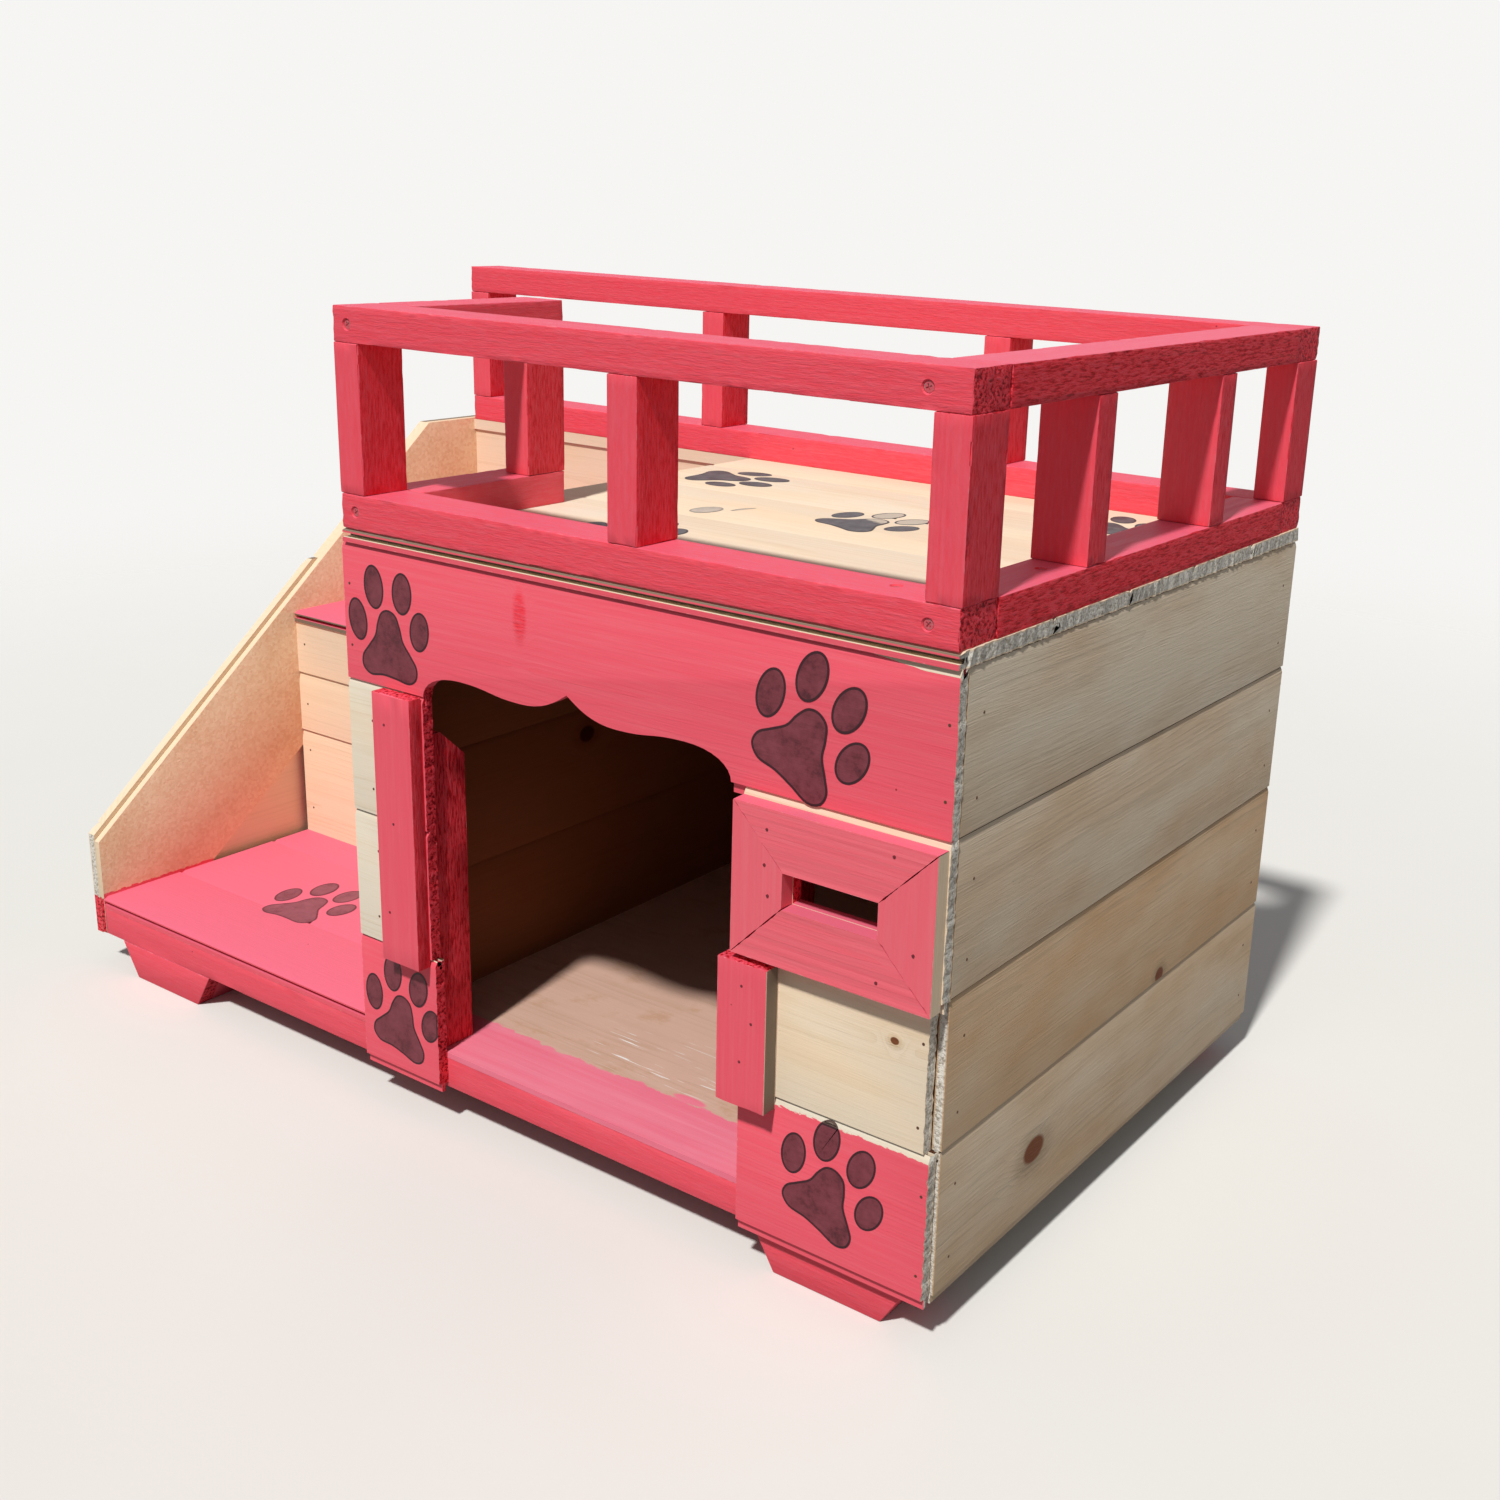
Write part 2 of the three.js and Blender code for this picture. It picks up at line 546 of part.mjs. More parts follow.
const bounds = new THREE.Box3().setFromObject(house);
const middle = bounds.getCenter(new THREE.Vector3());
house.position.set(-middle.x, -middle.y, -bounds.min.z);

const part = new THREE.Group();
part.add(house);

export default part;
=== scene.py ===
"""Finished look of a painted pine dog house with a railed roof deck and a boxed staircase.

Metres, +Z up, front towards -Y. Each timber takes its shape from the frame's node of the same
name, and gets worn arrises, rough sawn ends, its own run of grain and its finish. Screws, nails and
stencilled paw prints are added to them. House places, as in at(), are millimetres from the cabin's
front left corner on the ground.
"""

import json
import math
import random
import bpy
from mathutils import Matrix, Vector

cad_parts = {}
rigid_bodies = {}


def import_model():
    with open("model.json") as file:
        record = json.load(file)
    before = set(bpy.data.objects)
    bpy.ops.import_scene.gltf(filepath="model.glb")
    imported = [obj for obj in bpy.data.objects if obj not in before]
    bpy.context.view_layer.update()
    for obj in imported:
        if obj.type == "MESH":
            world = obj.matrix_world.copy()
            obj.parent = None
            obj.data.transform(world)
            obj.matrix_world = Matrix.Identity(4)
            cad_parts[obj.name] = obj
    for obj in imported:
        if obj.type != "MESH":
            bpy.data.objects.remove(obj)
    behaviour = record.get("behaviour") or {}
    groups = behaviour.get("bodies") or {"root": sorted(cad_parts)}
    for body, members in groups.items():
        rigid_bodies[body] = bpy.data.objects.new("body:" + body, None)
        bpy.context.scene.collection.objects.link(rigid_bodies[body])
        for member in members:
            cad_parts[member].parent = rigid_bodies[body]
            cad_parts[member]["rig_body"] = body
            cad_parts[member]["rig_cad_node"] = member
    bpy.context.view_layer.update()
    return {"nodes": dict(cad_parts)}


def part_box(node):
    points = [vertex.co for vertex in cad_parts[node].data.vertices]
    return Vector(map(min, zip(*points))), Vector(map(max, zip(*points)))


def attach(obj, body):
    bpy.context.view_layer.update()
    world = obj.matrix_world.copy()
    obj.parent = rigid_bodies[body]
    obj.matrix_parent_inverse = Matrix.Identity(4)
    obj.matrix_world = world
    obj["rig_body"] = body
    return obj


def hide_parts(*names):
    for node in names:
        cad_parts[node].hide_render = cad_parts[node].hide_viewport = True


bl_info = {
    "name": "Dog House",
    "version": (1, 0, 0),
    "blender": (4, 5, 0),
    "location": "View3D > Sidebar > Dog House",
    "description": "Builds the timbers, fixings, paw prints and stage of a painted pine dog house",
    "category": "Object",
}

from contextlib import contextmanager
from types import SimpleNamespace

import bmesh
import bpy
import numpy as np
from bpy.props import FloatProperty, FloatVectorProperty, PointerProperty
from mathutils import Matrix, Vector

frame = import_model()
MM = 0.001
X, Y, Z = 0, 1, 2
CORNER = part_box("header_board")[0]


def at(x, y, z):
    """A house place in millimetres as a point of the row frame."""
    return Vector((CORNER.x + x * MM, CORNER.y + y * MM, z * MM))


def linear(hex_colour):
    """An sRGB hex value as linear red, green and blue."""
    channels = [int(hex_colour[i : i + 2], 16) / 255 for i in (1, 3, 5)]
    return tuple(c / 12.92 if c <= 0.04045 else ((c + 0.055) / 1.055) ** 2.4 for c in channels)


def colour_property(name, description, hex_colour):
    colour = linear(hex_colour)
    return FloatVectorProperty(
        name=name, description=description, default=colour, subtype="COLOR", size=3, min=0, max=1
    )


def length_property(name, description, metres):
    return FloatProperty(
        name=name, description=description, default=metres, min=0, subtype="DISTANCE", unit="LENGTH",
        precision=4,
    )


# ---- What a user would change -------------------------------------------------------------------
class DogHouseColours(bpy.types.PropertyGroup):
    paint: colour_property("Paint", "Coral paint on planed faces", "#F05F71")
    # Deep paint colours the sawn faces and ends. It is partly paint soaked into the wood and partly painted
    # shade on these sides, which mostly face away from the light.
    paint_deep: colour_property("Deep paint", "Paint soaked into sawn faces and ends", "#F52532")
    # Painted sky reflection: faces that look up are drawn in this paler, bluer pink.
    paint_faded: colour_property("Faded paint", "Chalky paint on faces that look up", "#E26C85")
    paint_worn: colour_property("Worn paint", "Thin chalky paint along the arrises", "#F7A9AE")
    pine: colour_property("Pine", "Bare planed pine, cooler boards", "#E8DECB")
    pine_warm: colour_property("Warm pine", "Bare planed pine, warmer boards", "#F2DABB")
    pine_ring: colour_property("Pine ring", "Late wood of bare planed pine", "#D2B48C")
    knot: colour_property("Knot", "Heart of a pine knot", "#7A4A32")
    end_grain: colour_property("End grain", "Fuzzy fibre ends of the sawn boards", "#EEE9DF")
    # Painted shade: the wood inside the cabin is multiplied by this colour.
    indoors: colour_property("Indoors", "Darker wood inside the cabin", "#94603F")
    grey: colour_property("Weathered pine", "Weathered wall boards", "#DCCDB7")
    grey_ring: colour_property("Weathered ring", "Dark streaks of the weathered boards", "#A3907A")
    sheet: colour_property("Rough sheet", "Sheet inside the staircase's left side", "#FDE6C3")
    sheet_chip: colour_property("Sheet chips", "Darker chips in the rough sheet", "#E2B080")
    floor: colour_property("Floor sheet", "Plywood floor", "#D6B09E")
    floor_stain: colour_property("Floor stain", "Stains on the plywood floor", "#B98A62")
    prints: colour_property("Paw prints", "Stencil paint of the prints on coral paint", "#6A2B35")
    prints_bare: colour_property("Deck prints", "Stencil paint of the prints on the deck", "#47474C")
    screws: colour_property("Screws", "Screw heads, half painted over", "#C85560")
    nails: colour_property("Nails", "Nail heads", "#4B3A32")
    ground: colour_property("Ground", "Studio floor", "#E4E3E0")


class DogHouseSizes(bpy.types.PropertyGroup):
    arris: length_property("Arris", "Width of the rounding along a batten's edges", 0.0012)
    board_arris: length_property("Board arris", "Width of the rounding along a board's edges", 0.0005)
    ripple: length_property("Ripple", "How far the sawn faces undulate", 0.0003)
    saw_tear: length_property("Saw tear", "How deep the sawn ends are torn", 0.0022)
    chip: length_property("Chip", "Depth of the chips in the battens' arrises", 0.0010)
    crack: length_property("Crack", "Width of the open mitres round the slot", 0.0012)
    film: length_property("Print film", "Thickness of the stencil paint", 0.00015)
    screw: length_property("Screw head", "Diameter of a screw head", 0.0095)
    nail: length_property("Nail head", "Diameter of a nail head", 0.0028)


def colours():
    return bpy.context.scene.dog_house_colours


def sizes():
    return bpy.context.scene.dog_house_sizes


# ---- Modelling helpers --------------------------------------------------------------------------
def activate(piece):
    bpy.ops.object.select_all(action="DESELECT")
    piece.select_set(True)
    bpy.context.view_layer.objects.active = piece


@contextmanager
def editing(piece):
    """Edit mode on the piece with everything selected; gives its edit mesh."""
    activate(piece)
    bpy.ops.object.mode_set(mode="EDIT")
    bpy.ops.mesh.select_mode(type="EDGE")
    bpy.ops.mesh.select_all(action="SELECT")
    yield bmesh.from_edit_mesh(piece.data)
    bpy.ops.object.mode_set(mode="OBJECT")


def choose(piece, mesh, chosen):
    """Selects only the chosen vertices, edges or faces of the edit mesh."""
    bpy.ops.mesh.select_all(action="DESELECT")
    for element in chosen:
        element.select_set(True)
    bmesh.update_edit_mesh(piece.data)


def apply_modifier(piece, kind, **settings):
    activate(piece)
    modifier = piece.modifiers.new(kind.title(), kind)
    for key, value in settings.items():
        setattr(modifier, key, value)
    bpy.ops.object.modifier_apply(modifier=modifier.name)


def primitive(kind, **settings):
    """A new primitive at its size and place, selected alone."""
    bpy.ops.object.select_all(action="DESELECT")
    getattr(bpy.ops.mesh, f"primitive_{kind}_add")(**settings)
    return bpy.context.object


def cut_away(piece, cutter):
    apply_modifier(piece, "BOOLEAN", object=cutter, operation="DIFFERENCE", solver="EXACT")
    bpy.data.objects.remove(cutter)


def join_parts(parts, name):
    bpy.ops.object.select_all(action="DESELECT")
    for part in parts:
        part.select_set(True)
    bpy.context.view_layer.objects.active = parts[0]
    bpy.ops.object.join()
    piece = bpy.context.object
    piece.name = piece.data.name = name
    return piece


def clouds(grain, detail=2, contrast=1.0):
    """A cloudy height pattern with features about as large as the grain, in metres."""
    name = f"clouds of {grain / MM:g} mm"
    texture = bpy.data.textures.get(name) or bpy.data.textures.new(name, "CLOUDS")
    texture.noise_scale = grain
    texture.noise_depth = detail
    texture.contrast = contrast
    return texture


def cut_evenly(piece, axis, step):
    """Cuts the long edges that run along an axis into steps, as even loops round the timber."""
    with editing(piece) as mesh:
        mesh.edges.ensure_lookup_table()
        span = max(v.co[axis] for v in mesh.verts) - min(v.co[axis] for v in mesh.verts)
        others = [i for i in (X, Y, Z) if i != axis]
        runs = [
            e
            for e in mesh.edges
            if abs(e.verts[0].co[axis] - e.verts[1].co[axis]) > 0.7 * span
            and all(abs(e.verts[0].co[i] - e.verts[1].co[i]) < 1e-4 for i in others)
        ]
        cuts = max(1, round(span / step)) - 1
        if runs and cuts:
            choose(piece, mesh, runs)
            bpy.ops.mesh.subdivide(number_cuts=cuts)


def corners_of(piece):
    points = np.array([v.co for v in piece.data.vertices])
    return points.min(0), points.max(0)


def displace(piece, weights, direction, depth, grain=None, **pattern):
    """Moves the piece's vertices inwards by their weights times the depth, in a cloudy pattern where
    a grain is given."""
    group = piece.vertex_groups.new(name="moved")
    for value in sorted(set(weights)):
        if value > 0:
            group.add([int(i) for i in np.nonzero(weights == value)[0]], float(value), "REPLACE")
    settings = {"texture": clouds(grain, **pattern), "texture_coords": "LOCAL"} if grain else {}
    apply_modifier(
        piece, "DISPLACE", direction=direction, vertex_group=group.name, strength=-depth, mid_level=0.0,
        **settings,
    )
    piece.vertex_groups.clear()


def end_of(piece, axis, side):
    low, high = corners_of(piece)
    return high[axis] if side > 0 else low[axis]


def tear_end(piece, axis, side, depth):
    """Tears a sawn end inwards, together with the loop that the arris leaves just behind it."""
    end = end_of(piece, axis, side)
    distance = np.abs(np.array([v.co[axis] for v in piece.data.vertices]) - end)
    torn = np.where(distance < 0.0016, 1.0, 0.0)
    displace(piece, torn, "XYZ"[axis], side * depth, grain=0.006, detail=3, contrast=1.6)


def fray_end(piece, axis, side, depth):
    """Splits the long edges round a board's sawn end into short ones and tears them inwards."""
    end = end_of(piece, axis, side)
    with editing(piece) as mesh:
        long = [e for e in mesh.edges if e.calc_length() > 0.02]
        choose(piece, mesh, [e for e in long if all(abs(v.co[axis] - end) < 1e-5 for v in e.verts)])
        bpy.ops.mesh.subdivide(number_cuts=44)
    tear_end(piece, axis, side, depth)


def chip_arrises(piece, depth):
    """Knocks a few small chips out of the timber's outer edges."""
    low, high = corners_of(piece)
    points = np.array([v.co for v in piece.data.vertices])
    near = np.minimum(points - low, high - points) < 0.0018
    chance = random.Random(piece.name)
    chips = [chance.randint(3, 10) / 10 if chance.random() < 0.07 else 0.0 for _ in points]
    displace(piece, np.where(near.sum(1) >= 2, chips, 0.0), "NORMAL", depth)


def is_mitre(face):
    return abs(face.normal.x) > 0.2 and abs(face.normal.z) > 0.2 and abs(face.normal.y) < 0.1


def open_mitres(piece, depth):
    """Wears the edges of the diagonal faces back, unevenly, so that the mitres stand open."""
    with editing(piece) as mesh:
        mitres = {f for f in mesh.faces if is_mitre(f)}
        long = [e for e in mesh.edges if e.calc_length() > 0.03]
        choose(piece, mesh, [e for e in long if mitres & set(e.link_faces)])
        bpy.ops.mesh.subdivide(number_cuts=22)
    worn = np.zeros(len(piece.data.vertices))
    for polygon in filter(is_mitre, piece.data.polygons):
        worn[list(polygon.vertices)] = 1.0
    displace(piece, worn, "NORMAL", depth, grain=0.009, contrast=2.2)


def ripple(piece, depth):
    """Lets the faces undulate inwards, as wood does once it has dried."""
    apply_modifier(
        piece, "DISPLACE", texture=clouds(0.07), texture_coords="LOCAL", direction="NORMAL", strength=depth,
        mid_level=1.0,
    )


def keep_inside(piece, low, high):
    """Moves what stands past the timber's own box back on to it."""
    for vertex in piece.data.vertices:
        vertex.co = [min(max(vertex.co[i], low[i]), high[i]) for i in (X, Y, Z)]


# ---- Timbers ------------------------------------------------------------------------------------
FAR = 60.0  # no knot: a distance of many knot radii
# How far a board's pith lies from its middle line and from its face, and how much of a board's tone
# is its own where a tone is given.
PITH_ASIDE, PITH_BEYOND, OWN_TONE = 0.055, 0.05, 0.2
# How deep in the timber the walls of a joint lie, and from what depth a bevel gets painted shade.
JOINT_DEPTHS = (0.0008, 0.0075)
BEVEL_SHADE_FROM = 0.0015
# Faces drawn in so far that nail heads, or the deck's torn ends, stand proud of them.
DRAWN_IN = {f"right_wall_board_{row}": 0.0012 for row in (1, 2, 3, 4)}
DRAWN_IN.update(stair_side_boards=0.0004, right_trim_batten=0.0004)
PAINTED = -1.0
BARE = 1.0
# The box of the cabin's inside, whose faces get painted shade.
INDOORS = (at(10, 10, 84), at(700, 690, 610))


def mark(piece, along, through, joints=(), knots=(), rough=0.0, bare=PAINTED, tone=None, jointed=True):
    """Writes the timber's own coordinates and finish on its face corners.

    grain: metres along the grain, across it and through the timber, from each board's own pith.
    knot: distance from the board's knot, in knot radii. near and far: metres from the timber's
    lowest and highest sides, along, across and through. finish: how far past the paint's edge in
    metres, sawn roughness, tone of the board, and 1 on end grain. dim: 1 on faces in the
    cabin, for painted shade there. joint: 1 on the walls of the joints between boards, and at the
    deep edge of the bevels (on upright walls only those that face down), for painted shade in the gaps.
    """
    mesh = piece.data
    across = 3 - along - through
    order = [along, across, through]
    count = len(mesh.loops)
    points = np.array([v.co for v in mesh.vertices])
    low, high = points.min(0), points.max(0)
    corner = np.empty(count, int)
    mesh.loops.foreach_get("vertex_index", corner)
    face = np.repeat(np.arange(len(mesh.polygons)), [p.loop_total for p in mesh.polygons])
    centres = np.array([p.center for p in mesh.polygons])
    normals = np.array([p.normal for p in mesh.polygons])
    place = points[corner]

    chance = random.Random(piece.name)
    edges = sorted(joints)
    board = np.searchsorted(edges, centres[:, across])[face]
    bounds = [low[across], *edges, high[across]]
    grain = np.zeros((count, 3))
    knot = np.full((count, 3), FAR)
    tones = np.zeros(count)
    for index in range(len(bounds) - 1):
        here = board == index
        middle = (bounds[index] + bounds[index + 1]) / 2
        pith = middle + chance.uniform(-PITH_ASIDE, PITH_ASIDE)
        face_at = (low if chance.random() < 0.5 else high)[through]
        depth = face_at + chance.uniform(-PITH_BEYOND, PITH_BEYOND)
        start = chance.uniform(3, 40)
        grain[here] = place[here][:, order] + (start, -pith, -depth)
        own = chance.uniform(-1, 1)
        tones[here] = own if tone is None else tone + OWN_TONE * own
        for knot_board, knot_along, knot_across, radius, stretch in knots:
            if knot_board == index:
                knot[here, 0] = (place[here, along] - knot_along) / (radius * stretch)
                knot[here, 1] = (place[here, across] - knot_across) / radius
                knot[here, 2] = 0
    end = (np.abs(normals[:, along]) > 0.85)[face].astype(float)
    rough_here = rough(centres, normals)[face] if callable(rough) else np.full(count, rough)
    bare_here = bare(place, centres[face], normals[face]) if callable(bare) else np.full(count, bare)
    # Faces inside the cabin, to be drawn darker as painted shade.
    inner = np.all((centres > np.array(INDOORS[0])) & (centres < np.array(INDOORS[1])), axis=1)
    # Painted shade: the walls of the joints, and the deep half of the bevels that face down, are marked to
    # be drawn dark brown.
    depth = np.minimum(centres - low, high - centres)[:, through]
    turned = np.abs(normals)
    joint = (turned[:, across] > 0.9) & (depth > JOINT_DEPTHS[0]) & (depth < JOINT_DEPTHS[1])
    bevel = (turned[:, across] > 0.2) & (turned[:, through] > 0.2) & (turned[:, along] < 0.2)
    if across == Z:
        bevel &= normals[:, Z] < 0
    deep = np.minimum(place - low, high - place)[:, through] > BEVEL_SHADE_FROM
    joint = (joint[face] | (bevel[face] & deep)) & jointed

    write(mesh, "grain", grain)
    write(mesh, "knot", knot)
    write(mesh, "near", (place - low)[:, order])
    write(mesh, "far", (high - place)[:, order])
    write(mesh, "finish", np.stack([bare_here, rough_here, tones, end], axis=1))
    write(mesh, "dim", inner[face])
    write(mesh, "joint", joint)


def write(mesh, name, values):
    """Keeps one, three or four values per face corner under a name."""
    width = 1 if values.ndim == 1 else values.shape[1]
    kinds = {1: ("FLOAT", "value"), 3: ("FLOAT_VECTOR", "vector"), 4: ("FLOAT_COLOR", "color")}
    kind, field = kinds[width]
    layer = mesh.attributes.new(name, kind, "CORNER")
    layer.data.foreach_set(field, np.asarray(values, np.float32).ravel())


def timber(
    node,
    slot,
    along,
    through,
    arris=None,
    step=None,
    across_step=None,
    tears=(),
    frays=(),
    tear=None,
    chips=0.0,
    mitred=False,
    bores=(),
    finish=None,
    **marks,
):
    """A finished timber in the place of a frame node.

    along is the axis of the grain and through that of the thickness. tears and frays list the ends
    of battens and of boards to tear as (axis, side), and bores the countersinks as (place, axis,
    side). finish is the material where it isn't the slot's own.
    """
    size = sizes()
    source = frame["nodes"][node]
    piece = source.copy()
    piece.data = source.data.copy()
    piece.name = piece.data.name = node + "_timber"
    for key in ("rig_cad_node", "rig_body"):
        if key in piece:
            del piece[key]
    piece.parent = None
    bpy.context.scene.collection.objects.link(piece)
    piece.data.materials.clear()
    for attribute in [a.name for a in piece.data.attributes if a.name in ("UVMap", "Color")]:
        piece.data.attributes.remove(piece.data.attributes[attribute])
    with editing(piece):
        bpy.ops.mesh.customdata_custom_splitnormals_clear()
        bpy.ops.mesh.remove_doubles(threshold=1e-6)
        bpy.ops.mesh.dissolve_limited(angle_limit=math.radians(0.5))
    low, high = corners_of(piece)

    width = size.arris if arris is None else arris
    if width:
        apply_modifier(
            piece, "BEVEL", width=width, segments=2, limit_method="ANGLE", angle_limit=math.radians(40),
            use_clamp_overlap=True,
        )
    if step:
        cut_evenly(piece, along, step)
    if across_step:
        cut_evenly(piece, 3 - along - through, across_step)
        cut_evenly(piece, through, across_step)
    for axis, side in tears:
        tear_end(piece, axis, side, tear or size.saw_tear)
    for axis, side in frays:
        fray_end(piece, axis, side, tear or size.saw_tear)
    if mitred:
        open_mitres(piece, size.crack)
    if chips:
        chip_arrises(piece, chips * size.chip)
    if step:
        ripple(piece, size.ripple)
    skin = DRAWN_IN.get(node, 0.0)
    keep_inside(piece, low + skin, high - skin)
    for place, axis, side in bores:
        countersink(piece, place, axis, side)
    activate(piece)
    bpy.ops.object.shade_smooth_by_angle(angle=math.radians(32))
    marks.setdefault("bare", PAINTED if slot == "paint" else BARE)
    mark(piece, along, through, **marks)
    piece.data.materials.append(finish_for(finish or slot))
    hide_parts(node)
    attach(piece, "root")
    return piece


def countersink(piece, place, axis, side):
    """Cuts the tapered seat and the short bore of a screw into a face."""
    radius = sizes().screw / 2
    seat, bore, proud = 0.0024, 0.0022, 0.001
    cutter = primitive(
        "cone", vertices=28, radius1=radius * 1.02, radius2=radius * 1.48, depth=seat + proud,
        end_fill_type="NGON", location=(0, 0, (proud - seat) / 2),
    )
    with editing(cutter) as mesh:
        choose(cutter, mesh, [f for f in mesh.faces if f.normal.z < -0.9])
        bpy.ops.mesh.extrude_region_move(TRANSFORM_OT_translate={"value": (0, 0, -bore)})
    cutter.matrix_world = Matrix.Translation(place) @ toward(axis, side)
    cut_away(piece, cutter)


def toward(axis, side):
    """Turns +Z to an axis of the frame."""
    direction = Vector((0, 0, 0))
    direction[axis] = side
    return Vector((0, 0, 1)).rotation_difference(direction).to_matrix().to_4x4()


# ---- Materials ----------------------------------------------------------------------------------
# Which setting the second word of a node's kind fills, which inputs its values go to where these
# aren't the first ones, and which output it gives where this isn't the first one.
MODES = {
    "Math": "operation",
    "VectorMath": "operation",
    "Mix": "data_type",
    "MapRange": "interpolation_type",
}
INPUTS = {
    "Mix FLOAT": (0, 2, 3),
    "Mix RGBA": (0, 6, 7),
    "TexNoise": ("Vector", "Scale", "Detail", "Roughness"),
    "TexVoronoi": ("Vector", "Scale"),
    "Bump": ("Height", "Distance", "Strength"),
}
OUTPUTS = {"Mix RGBA": 2, "VectorMath LENGTH": 1, "VectorMath DISTANCE": 1}


def node_adder(tree):
    """Clears a node tree and gives the function that adds nodes to it."""
    tree.nodes.clear()

    def add(kind, *values, out=None, inputs=None, **settings):
        """Adds a node, sets it up, fills or links its inputs, and gives one of its outputs."""
        name, _, mode = kind.partition(" ")
        node = tree.nodes.new("ShaderNode" + name)
        if mode:
            settings[MODES[name]] = mode
        for key, value in settings.items():
            setattr(node, key, value)
        for key, value in [*zip(INPUTS.get(kind, range(len(values))), values), *(inputs or {}).items()]:
            socket = node.inputs[key]
            if isinstance(value, bpy.types.NodeSocket):
                tree.links.new(value, socket)
            else:
                socket.default_value = (*value, 1.0) if socket.type == "RGBA" else value
        return node.outputs[OUTPUTS.get(kind, 0) if out is None else out] if node.outputs else node

    return add


def new_material(name):
    """A material, and the function that adds nodes to it."""
    material = bpy.data.materials.new(name)
    material.use_nodes = True
    return material, node_adder(material.node_tree)


def stretched(add, place, per_metre, detail, roughness=0.5, out=0):
    """Noise with so many features to the metre along each of three directions."""
    scaled = add("VectorMath MULTIPLY", place, per_metre)
    return add("TexNoise", scaled, 1, detail, roughness, out=out)


def wood_figure(add, ring_spacing, wander):
    """Annual rings, fibres, streaks, saw fuzz, knot and arrises of a timber, from its own
    coordinates."""
    grain, knot, near, far = (
        add("Attribute", out=1, attribute_name=name) for name in ("grain", "knot", "near", "far")
    )
    finish = add("Attribute", attribute_name="finish")
    end = finish.node.outputs[3]
    split = add("SeparateXYZ", finish).node.outputs

    # The middle one of the distances to the three nearest sides is the distance to an arris.
    inset = add("VectorMath MINIMUM", near, far)
    inset = add("SeparateXYZ", inset).node.outputs
    less = add("Math MINIMUM", inset[0], inset[1])
    more = add("Math MAXIMUM", inset[0], inset[1])
    more = add("Math MINIMUM", more, inset[2])
    arris = add("Math MAXIMUM", less, more)

    slow = stretched(add, grain, (2.2, 11, 11), 2, out=1)
    drift = add("VectorMath SUBTRACT", slow, (0.5, 0.5, 0.5))
    drift = add("VectorMath MULTIPLY", drift, (0, wander, wander))
    bent = add("VectorMath ADD", grain, drift)
    flat = add("VectorMath MULTIPLY", bent, (0, 1, 1))
    radius = add("VectorMath LENGTH", flat)
    turns = add("Math DIVIDE", radius, ring_spacing)
    # Wet and dry years: the rings lie closer in some places, and fade in and out.
    years = stretched(add, bent, (0.8, 34, 34), 2)
    turns = add("Math MULTIPLY_ADD", years, 5.0, turns)

    from_knot = add("VectorMath LENGTH", knot)
    squared = add("Math MULTIPLY", from_knot, from_knot)
    fall = add("Math MULTIPLY", squared, -0.16)
    swell = add("Math EXPONENT", fall)
    turns = add("Math MULTIPLY_ADD", swell, 4.0, turns)
    saw = add("Math FRACT", turns)
    ring = add("Math POWER", saw, 2.6)
    shown = add("MapRange", years, 0.35, 0.62, 1.0, 0.25)
    ring = add("Math MULTIPLY", ring, shown)

    # Fibres 45 x 1.3 mm, streaks 330 x 11 mm, blotches 140 x 60 mm and saw fuzz 14 x 2.3 mm.
    fibre = stretched(add, bent, (22, 760, 760), 3, 0.6)
    streak = stretched(add, bent, (3, 95, 95), 4, 0.6)
    blotch = stretched(add, grain, (7, 16, 16), 3)
    fuzz = stretched(add, grain, (70, 430, 430), 4, 0.7)
    # On end grain the fuzz is as long as it is wide.
    crumbs = add("TexNoise", grain, 300, 3, 0.62)
    fuzz = add("Mix FLOAT", end, fuzz, crumbs)
    # Grit 9 x 4 mm breaks the paint's edges.
    grit = stretched(add, grain, (110, 260, 260), 3, 0.65)
    heart = add("MapRange SMOOTHSTEP", from_knot, 0.8, 1.15, 1.0, 0.0)
    halo = add("MapRange SMOOTHSTEP", from_knot, 1.0, 2.6, 1.0, 0.0)
    return SimpleNamespace(
        grain=grain,
        ring=ring,
        fibre=fibre,
        streak=streak,
        blotch=blotch,
        fuzz=fuzz,
        grit=grit,
        heart=heart,
        halo=halo,
        arris=arris,
        from_side=inset[2],
        past_paint=split[0],
        rough=split[1],
        tone=split[2],
        end=end,
        dim=add("Attribute", out=2, attribute_name="dim"),
        joint=add("Attribute", out=2, attribute_name="joint"),
    )


